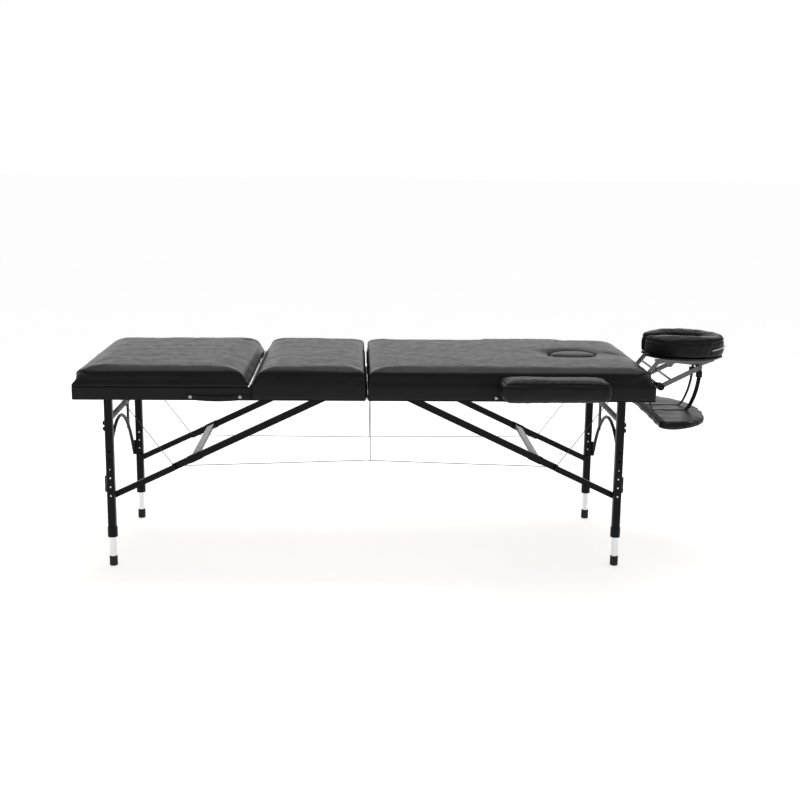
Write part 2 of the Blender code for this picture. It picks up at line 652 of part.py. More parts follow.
def make_struts(end, s):
    for side, k in SIDES:
        upper = strut(s, k, STRUT_FRAME, STRUT_KNEE, UPPER_HALF, UPPER_Y, [STRUT_FRAME])
        low, high = sorted((k * (UPPER_Y[0] - 0.0007), k * (UPPER_Y[1] + 0.0010)))
        sleeve = upper_block(s, CROSSBAR_AT, 0.045, 0.0125, low, high)
        kx, kz = s * STRUT_KNEE[0], STRUT_KNEE[1]
        washer = rod((kx, k * (UPPER_Y[0] + 0.001), kz), (kx, k * (UPPER_Y[0] - 0.0012), kz), 0.0085, 10)
        piece(f"{end}_upper_strut_{side}", combine(upper, [sleeve, washer]), BLACK_METAL,
              f"{end}_upper_pivot")
        lower = strut(s, k, STRUT_LEG, STRUT_KNEE, LOWER_HALF, LOWER_Y, [STRUT_LEG])
        stub = rod((kx, k * (LOWER_Y[0] + 0.001), kz), (kx, k * (UPPER_Y[1] + GAP), kz), 0.0085, 10)
        head = rod((kx, k * (LOWER_Y[1] - 0.001), kz), (kx, k * (LOWER_Y[1] + 0.0027), kz), 0.0060, 10)
        piece(f"{end}_lower_strut_{side}", combine(lower, [stub, head]), BLACK_METAL, f"{end}_lower_pivot")
    reach = UPPER_Y[0] - 0.0007 - GAP
    bar = upper_block(s, CROSSBAR_AT, 0.028, 0.005, -reach, reach, 0.0025)
    piece(f"{end}_crossbar", bar, GREY_ALUMINIUM, f"{end}_upper_pivot", 0.0012)


# ---------------------------------------------------------------- carry handles and bolts
HANDLES = {"foot": (-0.568, -0.381, 0.5900), "head": (0.404, 0.590, 0.5905)}


def make_handle(end, s):
    """A webbing handle with the two bolts that hold it to the near side rail."""
    left, right, z = HANDLES[end]
    side = RAIL_OUTER + (GAP if s < 0 else 0.0028)
    thick = 0.0026
    y = -(side + thick / 2)
    count = 10
    drop = 0.0068
    points = []
    for n in range(count + 1):
        t = n / count
        x = left - 0.010 + (right - left + 0.020) * t
        sag = sin(pi * min(1.0, max(0.0, (t - 0.07) / 0.86))) ** 0.8
        points.append((x, y - (0.0030 * sag if s < 0 else 0.0), z - 0.0035 - drop * sag))
    parts = []
    for x in (left, right):
        parts.append(rod((x, -RAIL_OUTER - GAP, z), (x, y, z), 0.0023, 8))
        parts.append(rod((x, y, z), (x, y - thick / 2 - 0.0022, z), 0.0060, 10, 0.0040))
    piece(f"{end}_handle", combine(swept_strap(points, (0, 0, 1), 0.017, thick), parts), WEBBING,
          "head_half" if s > 0 else "table")


# ---------------------------------------------------------------- cables
CABLE = 0.0013
CABLE_Y = 0.2262
SPAN_SAG = {"near": 0.022, "far": -0.004}


def cable_route(s, side, k):
    """Leg hinge to knee, then on to the middle of the span."""
    y = k * CABLE_Y
    kx, kz = STRUT_KNEE
    middle = kz + SPAN_SAG[side]
    return [(s * x, y, z) for x, z in ((LEG_PIVOT[0] - 0.006, LEG_PIVOT[1] - 0.003), (kx + 0.006, kz + 0.008),
                                       (kx - 0.006, kz + 0.0015), (0.32, kz + 0.5 * (middle - kz)),
                                       (0.002, middle))]


def make_cables():
    """Steel cables: each half's pair, and on the head half the V up to the centre fold."""
    for side, k in SIDES:
        piece(f"foot_cable_{side}", swept(cable_route(-1, side, k), CABLE, 6), STEEL)
    routes = []
    for side, k in SIDES:
        routes.append(swept(cable_route(1, side, k), CABLE, 6))
        middle = STRUT_KNEE[1] + SPAN_SAG[side]
        routes.append(swept([(0.014, k * CABLE_Y, middle), (0.014, k * 0.0025, UNDERSIDE - 0.010)], CABLE, 6))
    ferrule = rod((0.014, 0, UNDERSIDE - 0.016), (0.014, 0, CENTRE_HINGE_Z), 0.0036, 10)
    piece("head_cables", combine(routes[0], routes[1:] + [ferrule]), STEEL, "head_half")


# ---------------------------------------------------------------- armrests
def make_armrest(side, k):
    at = f"{side}_armrest"
    board_y = (HALF_WIDTH + 0.0028, HALF_WIDTH + 0.0066)
    low, high = sorted((k * board_y[0], k * board_y[1]))
    board = prism(rounded((ARMREST_X[0] + 0.012, 0.603), (ARMREST_X[1] - 0.012, ARMREST_Z[1] - 0.006), 0.010),
                  "Y", low, high)
    rods = [rod((x, k * 0.300, ARMREST_ROD_Z), (x, k * (board_y[0] + 0.001), ARMREST_ROD_Z), 0.0050, 14)
            for x in ARMREST_RODS_X]
    eyes = [box((x - 0.012, low, ARMREST_ROD_Z - 0.010), (x + 0.012, high, ARMREST_ROD_Z + 0.012))
            for x in ARMREST_RODS_X]
    piece(f"{side}_armrest_frame", combine(board, eyes + rods), BLACK_METAL, at)
    low, high = sorted((k * (board_y[1] + GAP), k * ARMREST_OUT))
    pad = prism(rounded((ARMREST_X[0], ARMREST_Z[0]), (ARMREST_X[1], ARMREST_Z[1]), 0.020, 3), "Y", low, high)
    outer = k * ARMREST_OUT
    rim = [e for e in pad.edges if all(abs(v.co.y - outer) < 1e-5 for v in e.verts)]
    bmesh.ops.bevel(pad, geom=rim, offset=0.018, segments=3, profile=0.5, affect="EDGES")
    piece(f"{side}_armrest_pad", pad, UPHOLSTERY, at)


# ---------------------------------------------------------------- face rest
def horseshoe(grow, slot):
    """The face cushion's plan: an oval with an oval opening and a slot towards the table."""
    outer_x, outer_y = (half + grow for half in RING_HALF)
    inner_x, inner_y = 0.062 - grow, 0.050 - grow
    count = 14
    points = []
    for (half_x, half_y), way in (((outer_x, outer_y), 1), ((inner_x, inner_y), -1)):
        first = slot / half_y
        for n in range(count + 1):
            turn = first + (2 * pi - 2 * first) * (n if way > 0 else count - n) / count
            points.append((RING_CENTRE_X - half_x * cos(turn), -half_y * sin(turn)))
    return points


BAR_LOW = HEAD_Y - 0.0065      # inner and outer faces of the face rest's side blocks
BAR_HIGH = HEAD_Y + 0.0065


def make_face_rest_base():
    """Two posts with hub blocks, knobs and link pins, tied together across the table."""
    hub_x, hub_z = HEAD_HUB
    link_x, link_z = HEAD_LINK_BASE
    parts = []
    for k in (-1, 1):
        y = k * HEAD_Y
        low, high = sorted((k * BAR_LOW, k * BAR_HIGH))
        parts.append(rod((0.886, y, POST_Z), (hub_x, y, POST_Z), POST_RADIUS, 12))
        parts.append(prism(circle(HEAD_HUB, 0.0125, 14), "Y", low, high))
        parts.append(prism([(0.948, POST_Z - 0.004), (0.966, POST_Z - 0.004), (link_x + 0.008, 0.626),
                            (link_x - 0.008, 0.626)], "Y", low, high))
        parts.append(rod((hub_x, k * (BAR_HIGH + 0.0061), hub_z), (hub_x, k * (BAR_HIGH + 0.0160), hub_z),
                         0.0120, 12))
        parts.append(rod((hub_x, k * (BAR_HIGH - 0.002), hub_z), (hub_x, k * (BAR_HIGH + 0.008), hub_z),
                         PIN, 8))
        parts.append(rod((link_x, k * (BAR_LOW + 0.002), link_z), (link_x, k * (BAR_LOW - 0.0075), link_z),
                         PIN, 8))
    parts.append(rod((link_x, -BAR_LOW - 0.001, POST_Z), (link_x, BAR_LOW + 0.001, POST_Z), 0.0060, 10))
    hub_tie = rod((hub_x, -BAR_LOW - 0.001, hub_z), (hub_x, BAR_LOW + 0.001, hub_z), 0.0050, 10)
    piece("face_rest_base", combine(hub_tie, parts), BLACK_METAL, "face_rest_slide")


def make_face_rest_arms():
    """The long arms from the hubs to the platform, and the short links beside them."""
    arms, links = [], []
    link_x, link_z = HEAD_LINK_BASE
    top_x, top_z = HEAD_LINK_TOP
    for k in (-1, 1):
        low, high = sorted((k * (BAR_HIGH + 0.0008), k * (BAR_HIGH + 0.0058)))
        arm = prism(link_outline(HEAD_HUB, HEAD_KNEE, 0.0080), "Y", low, high)
        arms.append(cut(arm, [rod((x, low - 0.01, z), (x, high + 0.01, z), PIN + GAP, 8)
                              for x, z in (HEAD_HUB, HEAD_KNEE)]))
        low, high = sorted((k * (BAR_LOW - 0.0058), k * (BAR_LOW - 0.0008)))
        link = prism(link_outline(HEAD_LINK_BASE, HEAD_LINK_TOP, 0.0070), "Y", low, high)
        bore = rod((link_x, low - 0.01, link_z), (link_x, high + 0.01, link_z), PIN + GAP, 8)
        links.append(cut(link, [bore]))
        links.append(rod((top_x, k * (BAR_LOW - 0.002), top_z), (top_x, k * (BAR_LOW - GAP), top_z),
                         0.0050, 8))
    tie_x, tie_z = 1.040, 0.6000
    arms.append(rod((tie_x, -BAR_HIGH - 0.002, tie_z), (tie_x, BAR_HIGH + 0.002, tie_z), 0.0042, 8))
    piece("face_rest_arms", combine(arms[0], arms[1:]), GREY_ALUMINIUM, "face_rest_arm_pivot")
    tie_x, tie_z = ((a + b) / 2 for a, b in zip(HEAD_LINK_BASE, HEAD_LINK_TOP))
    links.append(rod((tie_x, -BAR_LOW + 0.004, tie_z), (tie_x, BAR_LOW - 0.004, tie_z), 0.0035, 8))
    piece("face_rest_links", combine(links[0], links[1:]), GREY_ALUMINIUM, "face_rest_link_pivot")


def make_face_rest_bracket():
    """Side plates under the platform, joined across in front of and behind the face opening."""
    top = PLATFORM_Z[0] - GAP
    parts = []
    for k in (-1, 1):
        low, high = sorted((k * BAR_LOW, k * (BAR_LOW + 0.0045)))
        outline = [(0.980, top), (0.983, 0.659), (0.996, 0.655), (1.020, 0.661), (1.028, 0.6445),
                   (1.040, 0.6465), (1.046, 0.660), (1.118, 0.652), (1.127, 0.6395), (1.138, 0.6395),
                   (1.144, 0.652), (1.184, 0.667), (1.184, top)]
        parts.append(prism(outline, "Y", low, high))
        parts.append(rod((HEAD_KNEE[0], k * (BAR_LOW + 0.003), HEAD_KNEE[1]),
                         (HEAD_KNEE[0], k * (BAR_HIGH + 0.0085), HEAD_KNEE[1]), PIN, 8))
        for x, z in ((HEAD_LINK_TOP[0] + 0.001, HEAD_LINK_TOP[1] + 0.001), (1.034, 0.652)):
            parts.append(rod((x, k * (BAR_LOW + 0.002), z), (x, k * (BAR_LOW + 0.0065), z), 0.0040, 8))
    parts.append(box((1.166, -BAR_LOW - 0.001, top - 0.0025), (1.182, BAR_LOW + 0.001, top - 0.0001)))
    front = box((1.004, -BAR_LOW - 0.001, top - 0.0025), (1.017, BAR_LOW + 0.001, top - 0.0001))
    piece("face_rest_bracket", combine(front, parts), GREY_ALUMINIUM, "face_rest_tilt")


def make_face_rest_top():
    piece("face_rest_platform", prism(horseshoe(-0.010, 0.030), "Z", *PLATFORM_Z), BLACK_PLASTIC,
          "face_rest_tilt")
    low = PLATFORM_Z[1] + GAP
    pad = prism(horseshoe(0.0, 0.022), "Z", low, HEAD_CUSHION_TOP)
    rims = [e for e in pad.edges if abs(e.verts[0].co.z - e.verts[1].co.z) < 1e-6]
    bmesh.ops.bevel(pad, geom=rims, offset=0.012, segments=1, profile=0.5, affect="EDGES")
    piece("face_rest_cushion", pad, UPHOLSTERY, "face_rest_tilt")


# ---------------------------------------------------------------- arm shelf
SHELF_X = (0.962, 1.180)
SHELF_Z = (0.462, 0.482)
SHELF_HALF = 0.268
STRAP_TOP = (1.1475, 0.664)
STRAP_FOOT = (1.142, 0.4825)


def make_arm_shelf():
    """A padded D-shaped panel that hangs on webbing from the face rest and the table's end."""
    low_x, high_x = SHELF_X
    outline = [(low_x, SHELF_HALF * 0.93), (low_x, -SHELF_HALF * 0.93)]
    count = 20
    for n in range(count + 1):
        a = -pi / 2 + pi * n / count
        bulge = max(0.0, cos(a)) ** 0.75
        outline.append((low_x + 0.022 + (high_x - low_x - 0.022) * bulge, SHELF_HALF * sin(a)))
    panel = prism(outline, "Z", *SHELF_Z)
    rim = [e for e in panel.edges if abs(e.verts[0].co.z - e.verts[1].co.z) < 1e-6]
    bmesh.ops.bevel(panel, geom=rim, offset=0.006, segments=2, profile=0.5, affect="EDGES")
    piece("arm_shelf_panel", panel, UPHOLSTERY, "arm_shelf_lift")
    lie = SHELF_Z[1] + 0.0014
    web = 0.0018
    straps = [swept_strap([(0.980, -0.240, lie), (0.980, 0.240, lie)], (1, 0, 0), 0.026, web)]
    for k in (-1, 1):
        y = 0.045 * k
        straps.append(swept_strap([(0.975, y, lie), (1.130, y, lie), (STRAP_FOOT[0], y, lie + 0.004),
                                   (STRAP_FOOT[0] + 0.001, y, 0.55), (STRAP_TOP[0] - 0.001, y, 0.62),
                                   (STRAP_TOP[0], y, STRAP_TOP[1])], (0, 1, 0), 0.016, web))
        y = 0.225 * k
        straps.append(swept_strap([(0.9345, y, 0.612), (0.9350, y, 0.570), (0.944, y, 0.530),
                                   (0.962, y, lie + 0.003), (0.972, y, lie)], (0, 1, 0), 0.030, web))
    tab_z = STRAP_TOP[1] - 0.006
    top = swept_strap([(STRAP_TOP[0], -0.053, tab_z), (STRAP_TOP[0], 0.053, tab_z)], (0, 0, 1), 0.010, 0.0022)
    piece("arm_shelf_straps", combine(straps[0], straps[1:] + [top]), WEBBING, "arm_shelf_lift")


# ---------------------------------------------------------------- assembly
def make_pivots():
    pivot("centre_pins", (0, 0, CENTRE_HINGE_Z))
    pivot("head_half", (0, 0, CENTRE_HINGE_Z), "centre_pins")
    pivot("backrest", (BACKREST_X, 0, BACKREST_Z))
    pivot("prop_axis", (PROP_PIVOT[0], 0, PROP_PIVOT[1]), "backrest")
    pivot("face_plug", (FACE_HOLE_X, 0, DECK_LOW), "head_half")
    for end, s in ENDS:
        half = "head_half" if s > 0 else "table"
        pivot(f"{end}_legs", (s * LEG_PIVOT[0], 0, LEG_PIVOT[1]), half)
        pivot(f"{end}_upper_pivot", (s * STRUT_FRAME[0], 0, STRUT_FRAME[1]), half)
        pivot(f"{end}_lower_pivot", (s * STRUT_LEG[0], 0, STRUT_LEG[1]), f"{end}_legs")
        for side, k in SIDES:
            pivot(f"{end}_{side}_extension", (s * LEG_X, k * LEG_Y, 0), f"{end}_legs")
            pivot(f"{end}_{side}_button", (s * LEG_X, k * LEG_Y, BUTTON_Z), f"{end}_{side}_extension")
    for side, k in SIDES:
        pivot(f"{side}_armrest", (ARMREST_X[0], k * HALF_WIDTH, ARMREST_ROD_Z), "head_half")
    pivot("face_rest_slide", (HALF_LENGTH, 0, POST_Z), "head_half")
    pivot("face_rest_arm_pivot", (HEAD_HUB[0], 0, HEAD_HUB[1]), "face_rest_slide")
    pivot("face_rest_link_pivot", (HEAD_LINK_BASE[0], 0, HEAD_LINK_BASE[1]), "face_rest_slide")
    pivot("face_rest_tilt", (HEAD_KNEE[0], 0, HEAD_KNEE[1]), "face_rest_arm_pivot")
    pivot("arm_shelf_lift", (0.938, 0, 0.560), "head_half")


make_pivots()
make_tops()
make_face_plug()
make_centre_hinge()
make_backrest_hinge()
make_prop()
for end_name, direction in ENDS:
    rail_frame(end_name, direction)
    make_leg_frame(end_name, direction)
    for side_name, hand in SIDES:
        make_leg_extension(end_name, direction, side_name, hand)
    make_struts(end_name, direction)
    make_handle(end_name, direction)
make_cables()
for side_name, hand in SIDES:
    make_armrest(side_name, hand)
make_face_rest_base()
make_face_rest_arms()
make_face_rest_bracket()
make_face_rest_top()
make_arm_shelf()
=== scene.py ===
"""Looks of the folding massage table: upholstery, metalwork, cables, webbing and studio."""
import json
from math import asin, atan2, cos, pi, radians, sin

import bmesh
import bpy
import numpy as np
from mathutils import Matrix, Vector


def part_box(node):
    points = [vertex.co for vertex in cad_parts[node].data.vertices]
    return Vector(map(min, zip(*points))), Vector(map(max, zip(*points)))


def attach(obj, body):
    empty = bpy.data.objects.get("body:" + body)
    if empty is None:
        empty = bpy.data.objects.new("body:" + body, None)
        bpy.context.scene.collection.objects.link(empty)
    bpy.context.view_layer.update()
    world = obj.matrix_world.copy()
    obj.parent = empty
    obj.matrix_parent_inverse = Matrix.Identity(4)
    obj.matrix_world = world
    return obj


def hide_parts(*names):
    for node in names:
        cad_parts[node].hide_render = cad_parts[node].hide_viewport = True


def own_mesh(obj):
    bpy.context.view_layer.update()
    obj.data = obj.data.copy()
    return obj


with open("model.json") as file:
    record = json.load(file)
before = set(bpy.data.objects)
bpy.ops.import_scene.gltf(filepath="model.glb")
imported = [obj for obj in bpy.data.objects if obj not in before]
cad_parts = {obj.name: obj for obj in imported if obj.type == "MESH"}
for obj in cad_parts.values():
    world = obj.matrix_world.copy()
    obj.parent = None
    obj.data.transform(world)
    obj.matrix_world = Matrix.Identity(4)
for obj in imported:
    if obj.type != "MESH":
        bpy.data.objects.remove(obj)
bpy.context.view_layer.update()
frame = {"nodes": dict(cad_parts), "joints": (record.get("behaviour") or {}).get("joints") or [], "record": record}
NODES = frame["nodes"]
ENDS = (("foot", -1), ("head", 1))
SIDES = (("near", -1), ("far", 1))


def joint_spot(name):
    """A joint's point in the row frame."""
    return Vector(next(j["pos_m"] for j in frame["joints"] if j["name"] == name))


# Lengths below are in the table's own frame: x = 0 at the centre fold, +X to the head end.
SHIFT = Vector((joint_spot("centre_fold_a").x, 0, 0))


def table_box(*names):
    """The box round some CAD nodes, in the table's frame."""
    boxes = [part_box(name) for name in names]
    low = Vector([min(b[0][k] for b in boxes) for k in range(3)])
    high = Vector([max(b[1][k] for b in boxes) for k in range(3)])
    return low - SHIFT, high - SHIFT


def table_spot(name):
    return joint_spot(name) - SHIFT


LEG_HINGE = table_spot("head_leg_fold")
NOTCH = table_spot("backrest_tilt")
RAIL_LOW = table_box("head_frame")[0].z
RAIL_OUT = table_box("head_frame")[1].y
TOP = table_box("mid_cushion")[1].z
DECK_TOP = table_box("mid_deck")[1].z
HALF_WIDTH = table_box("mid_cushion")[1].y


# ---------------------------------------------------------------- node graphs
class Graph:
    """A short way to write a procedural material."""

    def __init__(self, name):
        self.material = bpy.data.materials.new(name)
        self.material.use_nodes = True
        self.tree = self.material.node_tree
        self.shader = self.tree.nodes["Principled BSDF"]
        self.coords = self.tree.nodes.new("ShaderNodeTexCoord").outputs["Object"]

    def node(self, kind, **sockets):
        made = self.tree.nodes.new(kind)
        for key, value in sockets.items():
            self.put(made.inputs[key.replace("_", " ")], value)
        return made

    def put(self, socket, value):
        if isinstance(value, bpy.types.NodeSocket):
            self.tree.links.new(value, socket)
        else:
            socket.default_value = value

    def set(self, **sockets):
        for key, value in sockets.items():
            self.put(self.shader.inputs[key.replace("_", " ")], value)

    def scaled(self, scale):
        return self.node("ShaderNodeMapping", Vector=self.coords, Scale=scale).outputs["Vector"]

    def noise(self, scale, detail=3.0, roughness=0.5, vector=None):
        return self.node("ShaderNodeTexNoise", Vector=vector or self.coords, Scale=scale, Detail=detail,
                         Roughness=roughness).outputs["Fac"]

    def cells(self, scale):
        return self.node("ShaderNodeTexVoronoi", Vector=self.coords, Scale=scale).outputs["Distance"]

    def wave(self, scale, axis="X", distortion=0.0, vector=None, detail=2.0):
        made = self.node("ShaderNodeTexWave", Vector=vector or self.coords, Scale=scale,
                         Distortion=distortion, Detail=detail)
        made.bands_direction = axis
        return made.outputs["Fac"]

    def ramp(self, fac, *stops):
        made = self.node("ShaderNodeValToRGB", Fac=fac)
        ramp = made.color_ramp
        while len(ramp.elements) < len(stops):
            ramp.elements.new(0.5)
        for element, (place, colour) in zip(ramp.elements, stops):
            element.position = place
            element.color = (*colour, 1.0) if isinstance(colour, tuple) else (colour, colour, colour, 1.0)
        return made.outputs["Color"]

    def maths(self, operation, a, b):
        made = self.node("ShaderNodeMath")
        made.operation = operation
        self.put(made.inputs[0], a)
        self.put(made.inputs[1], b)
        return made.outputs["Value"]

    def bump(self, height, strength, distance, after=None):
        made = self.node("ShaderNodeBump", Height=height, Strength=strength, Distance=distance)
        if after:
            self.put(made.inputs["Normal"], after)
        return made.outputs["Normal"]


def leather(name, grain=760.0, crease=0.35, dark=(0.0036, 0.0036, 0.0037),
            light=(0.0072, 0.0072, 0.0074)):
    """Black vinyl with a pebbled grain, soft unevenness and slightly polished high spots."""
    g = Graph(name)
    pebbles = g.cells(grain)
    fine = g.noise(grain * 2.6, 2.0)
    slow = g.noise(9.0, 3.0)
    patches = g.noise(38.0, 4.0, 0.6)
    g.set(Base_Color=g.ramp(slow, (0.30, dark), (0.72, light)),
          Roughness=g.ramp(patches, (0.3, 0.40), (0.7, 0.50)))
    g.shader.inputs["Specular IOR Level"].default_value = 0.20
    soft = g.bump(slow, crease, 0.0016)
    grainy = g.bump(pebbles, 0.22, 0.00022, soft)
    g.set(Normal=g.bump(fine, 0.12, 0.00008, grainy))
    return g.material


def powder_coat(name, dark=0.0016, light=0.0030):
    """Black powder coat: fine orange peel and slow random changes of shade and roughness."""
    g = Graph(name)
    peel = g.noise(1500.0, 2.0)
    cloud = g.noise(22.0, 3.0)
    g.set(Base_Color=g.ramp(cloud, (0.3, (dark, dark, dark)), (0.7, (light, light, light * 1.02))),
          Roughness=g.ramp(cloud, (0.3, 0.36), (0.7, 0.46)), Normal=g.bump(peel, 0.16, 0.00015))
    g.shader.inputs["Specular IOR Level"].default_value = 0.16
    return g.material


def moulded(name, colour, rough=(0.42, 0.55), texture=1100.0):
    """Moulded plastic or rubber: a fine speckle and slow changes of shade."""
    g = Graph(name)
    speck = g.cells(texture)
    cloud = g.noise(30.0, 3.0)
    low = tuple(0.82 * c for c in colour)
    g.set(Base_Color=g.ramp(cloud, (0.3, low), (0.7, colour)),
          Roughness=g.ramp(cloud, (0.3, rough[0]), (0.7, rough[1])),
          Normal=g.bump(speck, 0.18, 0.0002))
    g.shader.inputs["Specular IOR Level"].default_value = 0.35
    return g.material


def metal(name, colour, rough, brush=(1.0, 1.0, 60.0), strength=0.10):
    """Bare metal with brush marks; brush squeezes the noise along two axes."""
    g = Graph(name)
    marks = g.noise(40.0, 4.0, 0.65, g.scaled(brush))
    cloud = g.noise(16.0, 3.0)
    low = tuple(0.80 * c for c in colour)
    g.set(Base_Color=g.ramp(cloud, (0.25, low), (0.75, colour)), Metallic=1.0,
          Roughness=g.ramp(marks, (0.2, rough * 0.8), (0.8, rough * 1.25)),
          Normal=g.bump(marks, strength, 0.00012))
    return g.material


def plywood(name):
    """Pale plywood: long figure along X, and pores that show only in its roughness and bump."""
    g = Graph(name)
    warp = g.noise(3.0, 3.0)
    rings = g.wave(5.0, "Y", 6.0, g.scaled((0.35, 4.0, 4.0)), 3.0)
    pores = g.noise(90.0, 3.0, 0.6, g.scaled((0.08, 1.0, 1.0)))
    mixed = g.maths("ADD", g.maths("MULTIPLY", rings, 0.6), g.maths("MULTIPLY", warp, 0.4))
    g.set(Base_Color=g.ramp(mixed, (0.2, (0.30, 0.19, 0.10)), (0.8, (0.50, 0.36, 0.22))),
          Roughness=g.ramp(pores, (0.3, 0.52), (0.7, 0.68)), Normal=g.bump(pores, 0.25, 0.0004))
    return g.material


def webbing(name):
    """Woven black polypropylene: ribs one way, fine picks the other."""
    g = Graph(name)
    ribs = g.wave(150.0, "Z")
    picks = g.wave(420.0, "X", 1.5)
    weave = g.maths("MULTIPLY", ribs, picks)
    fuzz = g.noise(900.0, 2.0)
    g.set(Base_Color=g.ramp(weave, (0.1, (0.004, 0.004, 0.004)), (0.9, (0.016, 0.016, 0.017))),
          Roughness=g.ramp(fuzz, (0.3, 0.62), (0.7, 0.85)), Normal=g.bump(weave, 0.5, 0.0003))
    g.shader.inputs["Specular IOR Level"].default_value = 0.30
    return g.material


def make_materials():
    """One finish for each slot of the part, then four for the pieces that are only made here."""
    return {
        "black_upholstery": leather("vinyl"),
        "black_metal": powder_coat("black_powder_coat"),
        "black_plastic": moulded("black_moulding", (0.010, 0.010, 0.0105)),
        "plywood": plywood("birch_plywood"),
        "bright_aluminium": metal("bright_aluminium", (0.86, 0.86, 0.87), 0.26, (60.0, 60.0, 1.0)),
        "grey_aluminium": metal("grey_aluminium", (0.17, 0.17, 0.175), 0.42, (1.0, 30.0, 30.0), 0.16),
        "zinc_steel": metal("zinc_steel", (0.62, 0.62, 0.64), 0.28, (1.0, 20.0, 1.0)),
        "black_rubber": moulded("black_rubber", (0.009, 0.009, 0.009), (0.60, 0.78), 1600.0),
        "black_webbing": webbing("black_webbing"),
        "cover": leather("face_rest_cover", 900.0, 0.6, (0.0028, 0.0028, 0.0029),
                         (0.0058, 0.0058, 0.0060)),
        "chrome": metal("bright_rivets", (0.42, 0.42, 0.43), 0.18, (1.0, 1.0, 1.0), 0.04),
        "zip": metal("silver_zip", (0.80, 0.80, 0.81), 0.30, (1.0, 1.0, 1.0), 0.30),
        "cable": moulded("steel_rope", (0.085, 0.085, 0.088), (0.34, 0.48), 1400.0),
    }


MATERIALS = make_materials()


# ---------------------------------------------------------------- shapes
def along(points, level, axis):
    """2-D points to 3-D: axis Z takes (x, y), Y takes (x, z), X takes (y, z)."""
    places = {"X": lambda u, v: (level, u, v), "Y": lambda u, v: (u, level, v),
              "Z": lambda u, v: (u, v, level)}
    return [places[axis](u, v) for u, v in points]


def prism(points, axis, low, high):
    """A 2-D outline carried from low to high along an axis."""
    shape = bmesh.new()
    base = shape.faces.new([shape.verts.new(p) for p in along(points, low, axis)])
    grown = bmesh.ops.extrude_face_region(shape, geom=[base])
    moved = [v for v in grown["geom"] if isinstance(v, bmesh.types.BMVert)]
    step = {"X": (high - low, 0, 0), "Y": (0, high - low, 0), "Z": (0, 0, high - low)}[axis]
    bmesh.ops.translate(shape, vec=step, verts=moved)
    bmesh.ops.recalc_face_normals(shape, faces=shape.faces)
    return shape


def block(low, high):
    corners = [(low[0], low[1]), (high[0], low[1]), (high[0], high[1]), (low[0], high[1])]
    return prism(corners, "Z", low[2], high[2])


def circle(centre, radius, sides, radius_v=None):
    """A circle, or an ellipse when its second radius is given."""
    radius_v = radius if radius_v is None else radius_v
    steps = [2 * pi * n / sides for n in range(sides)]
    return [(centre[0] + radius * cos(a), centre[1] + radius_v * sin(a)) for a in steps]


def rounded(low, high, radius, steps=6):
    """A rectangle with round corners."""
    corners = ((high[0] - radius, high[1] - radius, 0.0), (low[0] + radius, high[1] - radius, 0.5),
               (low[0] + radius, low[1] + radius, 1.0), (high[0] - radius, low[1] + radius, 1.5))
    return [(u + radius * cos(pi * (turn + 0.5 * n / steps)), v + radius * sin(pi * (turn + 0.5 * n / steps)))
            for u, v, turn in corners for n in range(steps + 1)]


def turned(profile, foot, axis=(0, 0, 1), sides=40):
    """A closed body of revolution: (radius, height) pairs from foot along axis, bottom to top."""
    shape = bmesh.new()
    turn = Vector((0, 0, 1)).rotation_difference(Vector(axis)).to_matrix()
    rings = []
    for radius, height in profile:
        if radius < 1e-6:
            rings.append([shape.verts.new(Vector(foot) + turn @ Vector((0, 0, height)))])
        else:
            rings.append([shape.verts.new(Vector(foot) + turn @ Vector((x, y, height)))
                          for x, y in circle((0, 0), radius, sides)])
    for this, other in zip(rings, rings[1:]):
        for n in range(sides):
            m = (n + 1) % sides
            if len(this) == 1 and len(other) > 1:
                shape.faces.new((this[0], other[m], other[n]))
            elif len(other) == 1 and len(this) > 1:
                shape.faces.new((this[n], this[m], other[0]))
            elif len(this) > 1:
                shape.faces.new((this[n], this[m], other[m], other[n]))
    bmesh.ops.recalc_face_normals(shape, faces=shape.faces)
    return shape


def domed(radius, height, rim=0.35):
    """A bolt head's profile: a short wall and a dome."""
    wall = height * rim
    return [(0.0, 0.0), (radius, 0.0), (radius, wall)] + [
        (radius * cos(a), wall + (height - wall) * sin(a)) for a in (0.35, 0.7, 1.05)] + [(0.0, height)]


def smooth_path(points, steps=10):
    """A Catmull-Rom curve through the points."""
    points = [Vector(p) for p in points]
    padded = [2 * points[0] - points[1]] + points + [2 * points[-1] - points[-2]]
    line = []
    for a, b, c, d in zip(padded, padded[1:], padded[2:], padded[3:]):
        for n in range(steps):
            t = n / steps
            line.append(0.5 * ((2 * b) + (c - a) * t + (2 * a - 5 * b + 4 * c - d) * t * t
                               + (3 * b - a - 3 * c + d) * t ** 3))
    return line + [points[-1]]


def skinned(shape, rings):
    """Walls between rings of points, and a cap on the first and the last."""
    count = len(rings[0])
    for this, other in zip(rings, rings[1:]):
        for k in range(count):
            m = (k + 1) % count
            shape.faces.new((this[k], this[m], other[m], other[k]))
    shape.faces.new(rings[0][::-1])
    shape.faces.new(rings[-1])
    bmesh.ops.recalc_face_normals(shape, faces=shape.faces)
    return shape


def swept(points, section):
    """A section carried along a line; section(n) gives the (side, up) offsets at point n."""
    shape = bmesh.new()
    rings, side = [], None
    for n, point in enumerate(points):
        ahead = (points[min(n + 1, len(points) - 1)] - points[max(n - 1, 0)]).normalized()
        if side is None:
            side = ahead.cross(Vector((0, 0, 1)))
            if side.length < 0.1:
                side = ahead.cross(Vector((0, 1, 0)))
        side = (side - ahead * side.dot(ahead)).normalized()
        up = side.cross(ahead)
        rings.append([shape.verts.new(point + side * a + up * b) for a, b in section(n)])
    return skinned(shape, rings)


